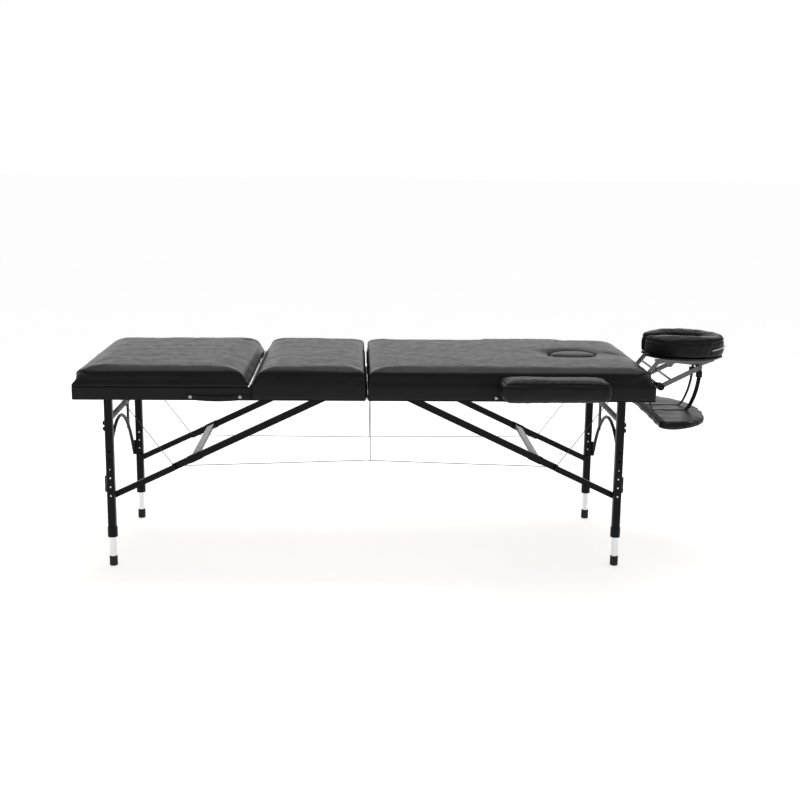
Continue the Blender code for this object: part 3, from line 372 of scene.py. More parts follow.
def rope(points, radius, pitch=0.011, strands=4):
    """A laid wire rope: its strands show as lobes that turn along the line."""
    sides = strands * 4
    lengths = [0.0]
    for a, b in zip(points, points[1:]):
        lengths.append(lengths[-1] + (b - a).length)

    def section(n):
        turn = 2 * pi * lengths[n] / pitch
        offsets = []
        for k in range(sides):
            share = 2 * pi * k / sides
            reach = radius * (0.90 + 0.10 * cos(strands * share))
            offsets.append((reach * cos(share + turn), reach * sin(share + turn)))
        return offsets
    return swept(points, section)


def strap(points, across, width, thick):
    """Flat webbing with soft edges along a line; across is the direction of its width."""
    points = [Vector(p) for p in points]
    across = Vector(across).normalized()
    shape = bmesh.new()
    rings = []
    profile = [(-0.5, -0.2), (-0.47, -0.5), (0.47, -0.5), (0.5, -0.2),
               (0.5, 0.2), (0.47, 0.5), (-0.47, 0.5), (-0.5, 0.2)]
    for n, point in enumerate(points):
        ahead = points[min(n + 1, len(points) - 1)] - points[max(n - 1, 0)]
        out = ahead.cross(across).normalized()
        rings.append([shape.verts.new(point + across * (width * a) + out * (thick * b)) for a, b in profile])
    return skinned(shape, rings)


def joined(shapes):
    """Several closed shapes in one mesh."""
    whole = bmesh.new()
    for shape in shapes:
        part = bpy.data.meshes.new("part")
        shape.to_mesh(part)
        shape.free()
        whole.from_mesh(part)
        bpy.data.meshes.remove(part)
    return whole


# ---------------------------------------------------------------- placing
SHARP_ANGLE = 35                # edges that turn more than this stay crisp


def apply_modifiers(thing):
    """Replaces an object's mesh by its modified one."""
    evaluated = thing.evaluated_get(bpy.context.evaluated_depsgraph_get())
    mesh = bpy.data.meshes.new_from_object(evaluated)
    thing.modifiers.clear()
    thing.data = mesh


def placed(name, shape, finish):
    """A mesh object from a shape in the table's frame."""
    mesh = bpy.data.meshes.new(name)
    bmesh.ops.translate(shape, vec=SHIFT, verts=shape.verts)
    shape.to_mesh(mesh)
    shape.free()
    mesh.materials.append(MATERIALS[finish])
    mesh.shade_smooth()
    mesh.set_sharp_from_angle(angle=radians(SHARP_ANGLE))
    made = bpy.data.objects.new(name, mesh)
    bpy.context.scene.collection.objects.link(made)
    return made


def piece(name, shape, finish, body, replaces=()):
    """A shown piece on a CAD body, with its slot and the nodes it stands for."""
    return mounted(placed(name, shape, finish), body, replaces)


def mounted(made, body, replaces=()):
    """Puts a piece on its body and the CAD nodes it replaces."""
    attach(made, body)
    if replaces:
        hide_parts(*replaces)
    return made


def coordinates(mesh):
    """A mesh's points as an array."""
    flat = np.empty(len(mesh.vertices) * 3)
    mesh.vertices.foreach_get("co", flat)
    return flat.reshape(-1, 3)


def store(mesh, points):
    """Puts an array of points back into its mesh."""
    mesh.vertices.foreach_set("co", np.ascontiguousarray(points, float).ravel())
    mesh.update()


def blurred(mesh, values, rounds):
    """Values averaged with their neighbours, to take the steps out of a cap."""
    edges = np.empty(len(mesh.edges) * 2, int)
    mesh.edges.foreach_get("vertices", edges)
    a, b = edges[0::2], edges[1::2]
    count = np.bincount(a, minlength=len(values)) + np.bincount(b, minlength=len(values))
    for _ in range(rounds):
        total = np.zeros_like(values)
        np.add.at(total, a, values[b])
        np.add.at(total, b, values[a])
        values = 0.5 * values + 0.5 * total / np.maximum(count, 1)[:, None]
    return values


def puffed(thing, voxel, cap, pressure=4.0, frames=20, held=None, subdivide=1):
    """Fills a closed shape like a stuffed cover: remesh, cloth with pressure, capped and smoothed."""
    remesh = thing.modifiers.new("remesh", "REMESH")
    remesh.mode = "VOXEL"
    remesh.voxel_size = voxel
    apply_modifiers(thing)
    mesh = thing.data
    start = coordinates(mesh)
    loose = np.ones(len(start)) if held is None else 1.0 - held(start - np.array(SHIFT))
    group = thing.vertex_groups.new(name="held")
    for index, weight in enumerate(1.0 - loose):
        if weight > 0:
            group.add([index], float(weight), "REPLACE")
    cloth = thing.modifiers.new("cloth", "CLOTH")
    settings = cloth.settings
    settings.quality = 4
    settings.mass = 0.35
    settings.tension_stiffness = 12
    settings.compression_stiffness = 12
    settings.shear_stiffness = 6
    settings.bending_stiffness = 0.6
    settings.use_pressure = True
    settings.uniform_pressure_force = pressure
    settings.effector_weights.gravity = 0.0
    settings.vertex_group_mass = "held"
    cloth.collision_settings.use_collision = False
    cloth.point_cache.frame_start = 1
    cloth.point_cache.frame_end = frames
    scene = bpy.context.scene
    for step in range(1, frames + 1):
        scene.frame_set(step)
    evaluated = thing.evaluated_get(bpy.context.evaluated_depsgraph_get())
    flat = np.empty(len(start) * 3)
    evaluated.data.vertices.foreach_get("co", flat)
    moved = flat.reshape(-1, 3) - start
    thing.modifiers.clear()
    thing.vertex_groups.clear()
    scene.frame_set(1)
    length = np.linalg.norm(moved, axis=1, keepdims=True)
    moved *= cap * np.tanh(length / cap) / np.maximum(length, 1e-9)
    moved = blurred(mesh, moved, 6) * loose[:, None]
    store(mesh, start + moved)
    if subdivide:
        smooth = thing.modifiers.new("smooth", "SUBSURF")
        smooth.levels = subdivide
        smooth.render_levels = subdivide
        apply_modifiers(thing)
    thing.data.shade_smooth()


def reshape(thing, move):
    """Moves every point by move(points in the table's frame, normals)."""
    mesh = thing.data
    points = coordinates(mesh)
    flat = np.empty(len(points) * 3)
    mesh.vertices.foreach_get("normal", flat)
    offset = move(points - np.array(SHIFT), flat.reshape(-1, 3))
    store(mesh, points + offset)


def drop_faces(thing, test):
    """Deletes faces whose centre and normal, in the table's frame, pass the test."""
    shape = bmesh.new()
    shape.from_mesh(thing.data)
    gone = [f for f in shape.faces if test(f.calc_center_median() - SHIFT, f.normal)]
    bmesh.ops.delete(shape, geom=gone, context="FACES")
    shape.to_mesh(thing.data)
    shape.free()


def shell(thing, thickness):
    """Gives an open cover its thickness, inwards."""
    wall = thing.modifiers.new("wall", "SOLIDIFY")
    wall.thickness = thickness
    wall.offset = -1.0
    wall.use_even_offset = False
    apply_modifiers(thing)
    thing.data.shade_smooth()


# ---------------------------------------------------------------- CAD pieces that stay
SLOT_OF = {part["node"]: part["material_slot"] for part in frame["record"]["subparts"]}


def finish_nodes():
    """Procedural finishes and eased edges for the CAD pieces that show."""
    for name, node in NODES.items():
        finish = SLOT_OF[name]
        node.data.materials.clear()
        node.data.materials.append(MATERIALS[finish])
        node.data.shade_smooth()
        node.data.set_sharp_from_angle(angle=radians(50))
        if finish in ("black_metal", "grey_aluminium", "zinc_steel", "black_plastic"):
            easing = node.modifiers.new("easing", "BEVEL")
            easing.width = 0.0006
            easing.segments = 1
            easing.limit_method = "ANGLE"
            easing.angle_limit = radians(60)


# ---------------------------------------------------------------- upholstery
SKIRT_LOW = RAIL_LOW + 0.0007
STEP = 0.0035                   # between the backrest's hinge line and each cushion
LEAN = 0.0235                   # each cushion's end leans back from the hinge line
FOLD = 0.002                    # half the gap at the centre fold
SKIRT_HIGH = 0.6132             # the foot half's skirt stops below the lifting board
FLAP_HEIGHTS = (0.6208, 0.6216)
DECK_BASE = RAIL_LOW + 0.0477   # lowest that a sheet's underside goes
WRAP = 0.006                    # how far the vinyl covers each sheet's edges
WELL = (0.5, 0.8)               # heights that the face hole's cutter spans
SLOT_HEIGHTS = (0.6, 0.7)       # the same for the prop's slots
PROP_LINE = (table_box("backrest_prop")[1].x - 0.0048, 0.6185)     # x and z of the prop's axle
PROP_BAR_Y = 0.3075             # the prop's bars, from the table's middle
PROP_EYE_Y = 0.298
HEAD_END = table_box("head_cushion")[1].x
FOOT_END = table_box("backrest_cushion")[0].x


def cushion_block(low_x, high_x, low_z, lean_low=0.0, lean_high=0.0, inset=0.003, edge=0.016):
    """A foam block and its skirt, a little small so that the cover can swell."""
    y = HALF_WIDTH + 0.0006
    top = TOP - inset
    shape = prism([(low_x, low_z), (high_x, low_z), (high_x, DECK_TOP), (high_x - lean_high, top),
                   (low_x + lean_low, top), (low_x, DECK_TOP)], "Y", -y, y)
    rim = [e for e in shape.edges if all(v.co.z > top - 0.001 for v in e.verts)]
    bmesh.ops.bevel(shape, geom=rim, offset=edge, segments=4, profile=0.5, affect="EDGES")
    uprights = [e for e in shape.edges if abs(e.verts[0].co.z - e.verts[1].co.z) > 0.02
                and all(abs(v.co.y) > y - 0.02 for v in e.verts)]
    bmesh.ops.bevel(shape, geom=uprights, offset=0.006, segments=3, profile=0.5, affect="EDGES")
    return shape


def under_held(level):
    """Weight 1 below the level, where the cover is stapled to the frame, 0 above."""
    return lambda points: np.clip((level + 0.006 - points[:, 2]) / 0.012, 0.0, 1.0)


def crowned(points, middle, half, rise, border=0.06):
    """Foam stands a little higher in the middle of its top than at the edges."""
    share = [np.clip((half[k] - np.abs(points[:, k] - middle[k])) / border, 0.0, 1.0) for k in (0, 1)]
    return rise * np.sin(0.5 * pi * share[0]) * np.sin(0.5 * pi * share[1])


def soft_noise(points, scale, seed):
    """Smooth noise from a few plane waves, the same each run."""
    rng = np.random.default_rng(seed)
    total = np.zeros(len(points))
    for _ in range(9):
        way = rng.normal(size=3)
        way *= scale * rng.uniform(0.6, 1.5) / np.linalg.norm(way)
        total += np.sin(points @ way + rng.uniform(0, 2 * pi))
    return total / 3.0


def round_corner(points, end_x, way, radius, start_z):
    """Draws the plan corners at one end in, more towards the top."""
    centre_x = end_x - way * radius
    centre_y = HALF_WIDTH - radius
    dx = way * (points[:, 0] - centre_x)
    dy = np.abs(points[:, 1]) - centre_y
    reach = np.hypot(dx, dy)
    out = np.where((dx > 0) & (dy > 0), np.maximum(0.0, reach - radius), 0.0)
    out *= np.clip((points[:, 2] - start_z) / 0.022, 0.0, 1.0)
    move = np.zeros_like(points)
    move[:, 0] = -way * out * dx / np.maximum(reach, 1e-6)
    move[:, 1] = -np.sign(points[:, 1]) * out * dy / np.maximum(reach, 1e-6)
    return move


def carved(thing, cutter):
    """Cuts one closed shape out of another object."""
    tool = placed("tool", cutter, "black_upholstery")
    cut = thing.modifiers.new("cut", "BOOLEAN")
    cut.object = tool
    cut.solver = "EXACT"
    apply_modifiers(thing)
    bpy.data.objects.remove(tool)


def big_cushion(node, body, low_x, high_x, low_z, seed, lean_low=0.0, lean_high=0.0, hole=None,
                corner=None):
    """A covered foam block over one CAD cushion.

    hole holds a centre and two half lengths, corner an end's x, its direction and a plan radius.
    """
    made = placed(f"{node}_cover", cushion_block(low_x, high_x, low_z, lean_low, lean_high),
                  "black_upholstery")
    if hole:
        carved(made, prism(circle(hole[0], hole[1] + 0.002, 48, hole[2] + 0.002), "Z", *WELL))
    puffed(made, 0.008, 0.0060, 3.5, 18, under_held(DECK_TOP), 0)

    def move(points, normals):
        shift = np.zeros_like(points)
        if corner:
            shift += round_corner(points, *corner, DECK_TOP)
        middle = (0.5 * (low_x + high_x), 0.0)
        half = (0.5 * (high_x - low_x), HALF_WIDTH)
        above = np.clip((points[:, 2] - TOP + 0.012) / 0.010, 0.0, 1.0)
        shift[:, 2] += above * crowned(points, middle, half, 0.0028)
        if corner:
            near = np.clip(1.0 - corner[1] * (corner[0] - points[:, 0]) / 0.10, 0.0, 1.0)
            height = np.clip((points[:, 2] - DECK_TOP) / (TOP - DECK_TOP), 0.0, 1.0)
            shift[:, 2] -= 0.010 * near ** 2 * height ** 2
        ripple = 0.00045 * soft_noise(points, 55.0, seed) + 0.00025 * soft_noise(points, 150.0, seed + 7)
        side = np.clip((points[:, 2] - DECK_TOP) / 0.01, 0.15, 1.0)
        return shift + normals * (ripple * side)[:, None]
    reshape(made, move)
    seam_x = (low_x, high_x)

    def hidden(centre, normal):
        if normal.z < -0.6 and centre.z < low_z + 0.006:
            return True
        inside_end = min(abs(centre.x - seam_x[0]), abs(centre.x - seam_x[1])) < 0.004 and abs(normal.x) > 0.8
        if inside_end and centre.z < DECK_TOP - 0.006 and abs(centre.x) < 0.5:
            return True
        if hole and centre.z < DECK_TOP - 0.002:
            return ((centre.x - hole[0][0]) / (hole[1] + 0.03)) ** 2 + (centre.y / (hole[2] + 0.03)) ** 2 < 1
        return False
    drop_faces(made, hidden)
    shell(made, 0.0016)
    mounted(made, body, (node,))


def make_tops():
    """Everything that belongs to the top: three cushions, decks, flap, skirt, plug and handles."""
    hole_box = table_box("face_hole_plug")
    hole_x = 0.5 * (hole_box[0].x + hole_box[1].x)
    hole = ((hole_x, 0.0), 0.5 * (hole_box[1].x - hole_box[0].x) + 0.0012,
            0.5 * (hole_box[1].y - hole_box[0].y) + 0.0012)
    big_cushion("mid_cushion", "foot_half", NOTCH.x + STEP, -FOLD, SKIRT_LOW, 3, LEAN)
    big_cushion("head_cushion", "head_half", FOLD, HEAD_END, SKIRT_LOW, 11, hole=hole,
                corner=(HEAD_END, 1, 0.095))
    low = table_box("backrest_board")[0].z - 0.0045
    big_cushion("backrest_cushion", "backrest", FOOT_END, NOTCH.x - STEP, low, 23, 0.0, LEAN,
                corner=(FOOT_END, -1, 0.085))
    make_decks(hole)
    make_hinge_flap()
    make_prop_eyes()
    make_foot_skirt()
    make_plug(hole)
    for end, _ in ENDS:
        make_handle(end, f"{end}_half")


def make_hinge_flap():
    """A vinyl flap over the backrest's hinge, at the bottom of the notch."""
    low, high = NOTCH.x - 0.0008, NOTCH.x + STEP + 0.004
    base, top = FLAP_HEIGHTS
    outline = [(low, base), (high, base), (high, top), (low, top)]
    piece("hinge_flap", prism(outline, "Y", -RAIL_OUT + 0.002, RAIL_OUT - 0.002), "black_upholstery",
          "foot_half")


def make_decks(hole):
    """The plywood under the covers, whose vinyl wraps its edges."""
    for node, body in (("mid_deck", "foot_half"), ("head_deck", "head_half"), ("backrest_board", "backrest")):
        low, high = table_box(node)
        base = max(low.z, DECK_BASE)
        shape = block((low.x + WRAP, low.y + WRAP, base), (high.x - WRAP, high.y - WRAP, DECK_TOP))
        made = placed(f"{node}_sheet", shape, "plywood")
        if node == "head_deck":
            carved(made, prism(circle(hole[0], hole[1] - 0.008, 40, hole[2] - 0.008), "Z", *WELL))
        if node == "backrest_board":
            for _, k in SIDES:
                carved(made, block((PROP_LINE[0] - 0.010, k * PROP_BAR_Y - 0.006, SLOT_HEIGHTS[0]),
                                   (PROP_LINE[0] + 0.010, k * PROP_BAR_Y + 0.006, SLOT_HEIGHTS[1])))
        mounted(made, body, (node,))


def make_prop_eyes():
    """Steel eyes under the backrest that carry the prop's axle."""
    eyes = []
    for _, k in SIDES:
        eye = turned([(0.0019, 0.0), (0.0038, 0.0), (0.0038, 0.008), (0.0019, 0.008), (0.0019, 0.0)],
                     (PROP_LINE[0], k * PROP_EYE_Y - 0.004, PROP_LINE[1]), (0, 1, 0), 24)
        eyes.append(eye)
    piece("prop_eyes", joined(eyes), "zinc_steel", "backrest")


def make_handle(end, body):
    """A webbing carry handle: a flat strap that bows out and sags, under two domed bolts."""
    low, high = table_box(f"{end}_handle")
    left, right = low.x + 0.019, high.x - 0.031
    base = -(HALF_WIDTH + 0.0016)
    z = high.z - 0.0035
    points = []
    for n in range(25):
        t = n / 24
        sag = sin(pi * min(1.0, max(0.0, (t - 0.07) / 0.86))) ** 0.8
        points.append((low.x + (high.x - low.x) * t, base - 0.0045 * sag, z - 0.0075 - 0.0056 * sag))
    piece(f"{end}_handle_strap", strap(points, (0, 0.12, 1), 0.0165, 0.0028), "black_webbing", body,
          (f"{end}_handle",))
    bolts = [turned(domed(0.0062, 0.0042), (x, base - 0.0012, z - 0.0068), (0, -1, 0), 24)
             for x in (left, right)]
    piece(f"{end}_handle_bolts", joined(bolts), "chrome", body)


def make_foot_skirt():
    """The cover's band round the foot half's rails, below the lifting backrest."""
    near_x = NOTCH.x - STEP
    outer_y = HALF_WIDTH - 0.0004
    thick = 0.0020
    arc = rounded((FOOT_END, -outer_y), (near_x + 1.0, outer_y), 0.008, 5)
    outside = [p for p in arc if p[0] < near_x + 0.5]
    outside.sort(key=lambda p: atan2(p[1], p[0] - near_x) % (2 * pi))
    outline = [(near_x, outer_y)] + outside + [(near_x, -outer_y)]
    inner = [(near_x, -outer_y + thick), (FOOT_END + thick, -outer_y + thick),
             (FOOT_END + thick, outer_y - thick), (near_x, outer_y - thick)]
    shape = prism(outline + inner, "Z", SKIRT_LOW, SKIRT_HIGH)
    bmesh.ops.triangulate(shape, faces=[f for f in shape.faces if len(f.verts) > 4])
    piece("foot_skirt", shape, "black_upholstery", "foot_half")


PLUG_UNIT = 0.08                # radius of the pad before it is drawn out to an oval


def make_plug(hole):
    """The crowned pad that fills the face hole."""
    (x, y), half_x, half_y = hole
    low = DECK_TOP + 0.001
    profile = [(0.0, 0.0), (0.93, 0.0), (0.985, 0.006), (0.985, TOP - low - 0.010), (0.93, TOP - low),
               (0.72, TOP - low + 0.0025), (0.0, TOP - low + 0.004)]
    shape = turned([(r * PLUG_UNIT, z) for r, z in profile], (0, 0, low), sides=48)
    grow = Matrix.Diagonal((half_x / PLUG_UNIT, half_y / PLUG_UNIT, 1.0))
    for v in shape.verts:
        v.co = grow @ v.co + Vector((x, y, 0))
    made = placed("face_plug_pad", shape, "black_upholstery")
    puffed(made, 0.004, 0.0022, 3.0, 14, under_held(low + 0.006), 1)
    mounted(made, "face_plug", ("face_hole_plug",))


# ---------------------------------------------------------------- armrests
def make_armrest(side, k):
    """A stuffed armrest, drawn in along its seams, flat where it meets its plate."""
    low, high = table_box(f"{side}_armrest_pad")
    inner = low.y if k > 0 else high.y
    outer = high.y if k > 0 else low.y
    inset = 0.005
    outline = rounded((low.x + inset, low.z + inset), (high.x - inset, high.z - inset), 0.020, 6)
    shape = prism(outline, "Y", *sorted((inner + k * 0.001, outer - k * inset)))
    rim = [e for e in shape.edges if all(abs(v.co.y - (outer - k * inset)) < 1e-5 for v in e.verts)]
    bmesh.ops.bevel(shape, geom=rim, offset=0.020, segments=5, profile=0.5, affect="EDGES")
    made = placed(f"{side}_armrest_cover", shape, "black_upholstery")
    puffed(made, 0.005, 0.0065, 4.5, 20,
           lambda p: np.clip(1.0 - (k * (p[:, 1] - inner) - 0.002) / 0.008, 0.0, 1.0), 1)
    middle = 0.5 * (low + high)

    def move(points, normals):
        u = (points[:, 0] - middle.x) / (0.5 * (high.x - low.x))
        w = (points[:, 2] - middle.z) / (0.5 * (high.z - low.z))
        out = np.clip((k * (points[:, 1] - inner)) / 0.03, 0.0, 1.0)
        crease = -0.0028 * np.exp(-((w - 0.62 - 0.04 * np.sin(5 * u)) / 0.07) ** 2)
        crease += -0.0022 * np.exp(-((u - 0.86 + 0.05 * w) / 0.018) ** 2)
        crease += -0.0018 * np.exp(-((u + 0.90 - 0.03 * w) / 0.016) ** 2)
        pucker = 0.0003 * np.sin(38 * u + 3 * np.sin(4 * w)) * np.exp(-((np.abs(w) - 0.95) / 0.22) ** 2)
        lumps = 0.0008 * soft_noise(points, 34.0, 31 + (k > 0))
        lumps += 0.0002 * soft_noise(points, 120.0, 41 + (k > 0))
        shift = normals * ((crease + pucker + lumps) * out)[:, None]
        shift[:, 2] -= 0.0022 * out * np.clip(-w, 0, 1) * (1.0 - 0.6 * u)
        return shift
    reshape(made, move)
    mounted(made, f"{side}_armrest", (f"{side}_armrest_pad",))


# ---------------------------------------------------------------- face rest
RING_INNER = (0.062, 0.050)      # half lengths of the face hole
ZIP_RADIUS = 0.0016


def horseshoe(middle_x, outer, inner, slot, count=40):
    """The face cushion's plan: an oval ring with a slot towards the table."""
    points = []
    for (half_x, half_y), way in ((outer, 1), (inner, -1)):
        first = asin(min(0.9, slot / half_y))
        for n in range(count + 1):
            turn = first + (2 * pi - 2 * first) * (n if way > 0 else count - n) / count
            points.append((middle_x - half_x * cos(turn), -half_y * sin(turn)))
    return points


def make_face_cushion():
    """The horseshoe cushion in its gathered cover."""
    low, high = table_box("face_rest_cushion")
    middle_x = 0.5 * (low.x + high.x)
    half = (0.5 * (high.x - low.x), 0.5 * (high.y - low.y))
    inset = 0.008
    outline = horseshoe(middle_x, (half[0] - inset, half[1] - inset),
                        (RING_INNER[0] + 0.004, RING_INNER[1] + 0.004), 0.022)
    shape = prism(outline, "Z", low.z + 0.0015, high.z - 0.007)
    rims = [e for e in shape.edges if abs(e.verts[0].co.z - e.verts[1].co.z) < 1e-6]
    bmesh.ops.bevel(shape, geom=rims, offset=0.010, segments=3, profile=0.5, affect="EDGES")
    made = placed("face_cushion_cover", shape, "cover")
    puffed(made, 0.0045, 0.010, 5.0, 22,
           lambda p: np.clip(1.0 - (p[:, 2] - low.z - 0.001) / 0.006, 0.0, 1.0), 1)

    def move(points, normals):
        x, y = points[:, 0] - middle_x, points[:, 1]
        turn = np.arctan2(y, x)
        reach = np.hypot(x / half[0], y / half[1])
        w = (points[:, 2] - low.z) / (high.z - low.z)
        inner = np.clip(1.0 - (reach - 0.42) / 0.30, 0.0, 1.0) * np.clip((w - 0.3) / 0.3, 0, 1)
        gathers = -0.0020 * (0.5 + 0.5 * np.sin(52 * turn + 2.0 * np.sin(5 * turn))) * inner
        outside = np.clip((reach - 0.80) / 0.12, 0.0, 1.0)
        ruche = -0.0016 * (0.5 + 0.5 * np.sin(74 * turn + 2.6 * np.sin(7 * turn)))
        ruche = ruche * outside * np.exp(-((w - 0.86) / 0.16) ** 2)
        seam = -0.0026 * outside * np.exp(-((w - 0.70 - 0.02 * np.sin(9 * turn)) / 0.035) ** 2)
        lumps = 0.0013 * soft_noise(points, 60.0, 51) + 0.0006 * soft_noise(points, 190.0, 57)
        return normals * (gathers + ruche + seam + lumps * np.clip(w * 4, 0, 1))[:, None]
    reshape(made, move)
    mounted(made, "face_rest_platform", ("face_rest_cushion",))
    make_zip(middle_x, half, low.z, high.z)


def make_zip(middle_x, half, low_z, high_z):
    """A short zip on the cover's head end corner, nearer side."""
    tape = []
    for n in range(13):
        turn = radians(-62 + 34 * n / 12)
        grow = 0.998
        z = low_z + (high_z - low_z) * (0.38 + 0.12 * n / 12)
        tape.append(Vector((middle_x + half[0] * grow * cos(turn), half[1] * grow * sin(turn), z)))
    teeth = swept(tape, lambda n: circle((0, 0), ZIP_RADIUS, 10))
    piece("zip", teeth, "zip", "face_rest_platform")


# ---------------------------------------------------------------- arm shelf
def make_arm_shelf():
    """The padded D-shaped panel, with a slightly scalloped rim."""
    low, high = table_box("arm_shelf_panel")
    half = 0.5 * (high.y - low.y)
    inset = 0.004
    outline = [(low.x + inset, half * 0.93 - inset), (low.x + inset, -half * 0.93 + inset)]
    for n in range(41):
        a = -pi / 2 + pi * n / 40
        bulge = max(0.0, cos(a)) ** 0.75
        outline.append((low.x + 0.022 + (high.x - low.x - 0.022 - inset) * bulge, (half - inset) * sin(a)))
    shape = prism(outline, "Z", low.z + 0.003, high.z - 0.003)
    made = placed("arm_shelf_pad", shape, "black_upholstery")
    puffed(made, 0.0055, 0.0065, 4.0, 20, None, 1)

    def move(points, normals):
        rim = np.clip(1.0 - (high.x - points[:, 0]) / 0.10, 0.0, 1.0)
        waves = 0.0010 * soft_noise(points * np.array((1.0, 1.0, 0.2)), 48.0, 61)
        waves += 0.0004 * soft_noise(points, 110.0, 67)
        scallop = 0.0012 * np.sin(points[:, 1] * 85.0 + 2 * np.sin(points[:, 1] * 31.0)) * rim
        return normals * (waves + scallop)[:, None]
    reshape(made, move)
    mounted(made, "arm_shelf", ("arm_shelf_panel",))


SHELF_LIE = table_box("arm_shelf_panel")[1].z + 0.0030
HANGER_X = 1.148                # the straps that hang from the face rest
HANGER_Y = 0.045
SIDE_STRAP_Y = 0.225            # the straps that hang from the table's end
FRONT_BAND_X = 0.980
STRAP_THICK = 0.0018
TAB_THICK = 0.0022


def make_shelf_straps():
    """Webbing from the face rest and the table's end down to the arm shelf."""
    lie, x = SHELF_LIE, HANGER_X
    top = table_box("arm_shelf_straps")[1].z
    band = [(FRONT_BAND_X, -0.240, lie), (FRONT_BAND_X, 0.0, lie + 0.0006), (FRONT_BAND_X, 0.240, lie)]
    straps = [strap(band, (1, 0, 0), 0.026, STRAP_THICK)]
    for _, k in SIDES:
        y = HANGER_Y * k
        hang = smooth_path([(x, y, top - 0.010), (1.151, y, 0.632), (1.149, y, 0.596), (1.141, y, 0.552),
                            (1.127, y, 0.512), (1.112, y, lie + 0.004), (1.095, y, lie)], 6)
        straps.append(strap(hang, (0.75, 0.66 * k, 0.0), 0.015, STRAP_THICK))
        under = [(0.985, y, lie), (1.040, y, lie + 0.0008), (1.097, y, lie)]
        straps.append(strap(under, (0, 1, 0), 0.016, STRAP_THICK))
        straps.append(block((1.140, y - 0.009, 0.602), (1.158, y + 0.009, 0.622)))
        y = SIDE_STRAP_Y * k
        drop = smooth_path([(0.9345, y, 0.612), (0.9350, y, 0.570), (0.944, y, 0.530),
                            (0.962, y, lie + 0.004), (0.976, y, lie)], 6)
        straps.append(strap(drop, (0, 1, 0), 0.030, STRAP_THICK))
    tab = [(x, -0.053, top - 0.012), (x, 0.0, top - 0.0122), (x, 0.053, top - 0.012)]
    straps.append(strap(tab, (0, 0, 1), 0.010, TAB_THICK))
    made = piece("arm_shelf_webbing", joined(straps), "black_webbing", "arm_shelf",
                 ("arm_shelf_straps",))
    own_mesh(made)


# ---------------------------------------------------------------- cables
CABLE_RADIUS = 0.0017
CABLE_Y = 0.5 * (table_box("foot_cable_far")[1].y + table_box("foot_cable_far")[0].y)
KNEE = (0.633, 0.326)            # x and z where a rope passes its crossbar
SPAN_SAG = {"near": 0.022, "far": -0.004}     # rise of the middle above the knees
RISER_X = 0.014                  # foot of the V of rope at the centre fold


def filled_in(points, step=0.004):
    """Points on straight runs, close enough together for a rope's twist."""
    line = []
    for a, b in zip(points, points[1:]):
        count = max(1, int((Vector(b) - Vector(a)).length / step))
        line += [Vector(a).lerp(Vector(b), n / count) for n in range(count)]
    return line + [Vector(points[-1])]


def make_cables():
    """Wire rope along the CAD routes, from each leg's hinge past its crossbar to the middle under the table."""
    for end, s in ENDS:
        runs = []
        for side, k in SIDES:
            middle = KNEE[1] + SPAN_SAG[side]
            y = k * CABLE_Y
            line = [(s * (LEG_HINGE.x - 0.006), y, LEG_HINGE.z - 0.003),
                    (s * (KNEE[0] + 0.006), y, KNEE[1] + 0.008),
                    (s * (KNEE[0] - 0.006), y, KNEE[1] + 0.0015),
                    (s * 0.32, y, KNEE[1] + 0.5 * (middle - KNEE[1])),
                    (s * 0.002, y, middle)]
            if s > 0:
                runs.append(rope(filled_in(line), CABLE_RADIUS))
                rise = [(RISER_X, y, middle), (RISER_X, k * 0.0025, RAIL_LOW - 0.010)]
                runs.append(rope(filled_in(rise), CABLE_RADIUS))
            else:
                made = piece(f"foot_rope_{side}", rope(filled_in(line), CABLE_RADIUS), "cable",
                             "foot_half", (f"foot_cable_{side}",))
                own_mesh(made)
        if s > 0:
            ferrule = [(0, 0), (0.0030, 0.0), (0.0036, 0.0012), (0.0036, 0.0125), (0, 0.0125)]
            runs.append(turned(ferrule, (RISER_X, 0, RAIL_LOW - 0.016), sides=20))
            made = piece("head_ropes", joined(runs), "cable", "head_half", ("head_cables",))
            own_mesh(made)


# ---------------------------------------------------------------- studio
FLOOR_REACH = 60.0
FLOOR_GLOW = 0.60
WORLD_LIGHT = 0.42
WHITE = (1.0, 1.0, 1.0, 1.0)


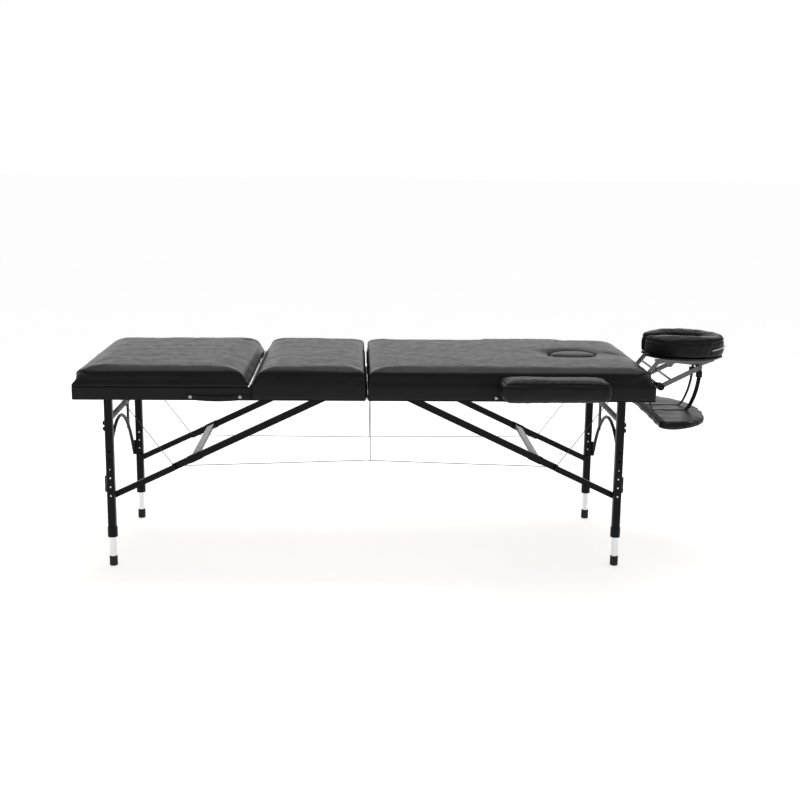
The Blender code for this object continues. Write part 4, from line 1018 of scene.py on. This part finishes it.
def make_stage():
    """A white floor and backdrop with even light."""
    mesh = bpy.data.meshes.new("floor")
    shape = bmesh.new()
    bmesh.ops.create_grid(shape, x_segments=1, y_segments=1, size=FLOOR_REACH)
    bmesh.ops.translate(shape, vec=(0, 0, -0.0005), verts=shape.verts)
    shape.to_mesh(mesh)
    shape.free()
    g = Graph("studio_floor")
    g.set(Base_Color=g.ramp(g.noise(1.5), (0.3, 0.90), (0.7, 0.92)), Roughness=0.9)
    g.shader.inputs["Specular IOR Level"].default_value = 0.0
    g.shader.inputs["Emission Color"].default_value = WHITE
    g.shader.inputs["Emission Strength"].default_value = FLOOR_GLOW
    mesh.materials.append(g.material)
    floor = bpy.data.objects.new("floor", mesh)
    bpy.context.scene.collection.objects.link(floor)

    world = bpy.data.worlds.new("studio")
    world.use_nodes = True
    nodes, links = world.node_tree.nodes, world.node_tree.links
    nodes["Background"].inputs["Color"].default_value = WHITE
    nodes["Background"].inputs["Strength"].default_value = WORLD_LIGHT
    backdrop = nodes.new("ShaderNodeBackground")
    chosen = nodes.new("ShaderNodeMixShader")
    links.new(nodes.new("ShaderNodeLightPath").outputs["Is Camera Ray"], chosen.inputs["Fac"])
    links.new(nodes["Background"].outputs["Background"], chosen.inputs[1])
    links.new(backdrop.outputs["Background"], chosen.inputs[2])
    links.new(chosen.outputs["Shader"], nodes["World Output"].inputs["Surface"])
    backdrop.inputs["Color"].default_value = WHITE
    scene = bpy.context.scene
    scene.world = world
    scene.view_settings.view_transform = "Standard"


def make_light(name, spot, aim, size, power):
    data = bpy.data.lights.new(name, "AREA")
    data.shape = "RECTANGLE"
    data.size, data.size_y = size
    data.energy = power
    light = bpy.data.objects.new(name, data)
    light.location = spot
    light.rotation_euler = (Vector(aim) - Vector(spot)).to_track_quat("-Z", "Y").to_euler()
    bpy.context.scene.collection.objects.link(light)


CAMERA_SPOT = Vector((-0.0334, -4.1795, 1.3517))
CAMERA_TURN = (2.078, 11.422, 0.685)          # yaw, pitch and roll in degrees
LENS = 55.206
SENSOR = 36.0


def make_camera():
    """The main view, a little above the top from the near side."""
    yaw, pitch, roll = (radians(angle) for angle in CAMERA_TURN)
    ahead = Vector((sin(yaw) * cos(pitch), cos(yaw) * cos(pitch), -sin(pitch)))
    level = Vector((cos(yaw), -sin(yaw), 0.0))
    above = level.cross(ahead)
    right = cos(roll) * level + sin(roll) * above
    up = -sin(roll) * level + cos(roll) * above
    data = bpy.data.cameras.new("camera")
    data.lens = LENS
    data.sensor_width = SENSOR
    camera = bpy.data.objects.new("camera", data)
    turn = Matrix((right, up, -ahead)).transposed().to_4x4()
    camera.matrix_world = Matrix.Translation(CAMERA_SPOT + SHIFT) @ turn
    bpy.context.scene.collection.objects.link(camera)
    bpy.context.scene.camera = camera


make_camera()
finish_nodes()
make_tops()
for side, k in SIDES:
    make_armrest(side, k)
make_face_cushion()
make_arm_shelf()
make_shelf_straps()
make_cables()
make_stage()
make_light("overhead", (0.0, 0.6, 2.6), (0.0, 0.0, 0.5), (3.0, 1.5), 24.0)
make_light("behind", (0.0, 3.6, 1.4), (0.0, 0.0, 0.7), (6.0, 1.8), 46.0)
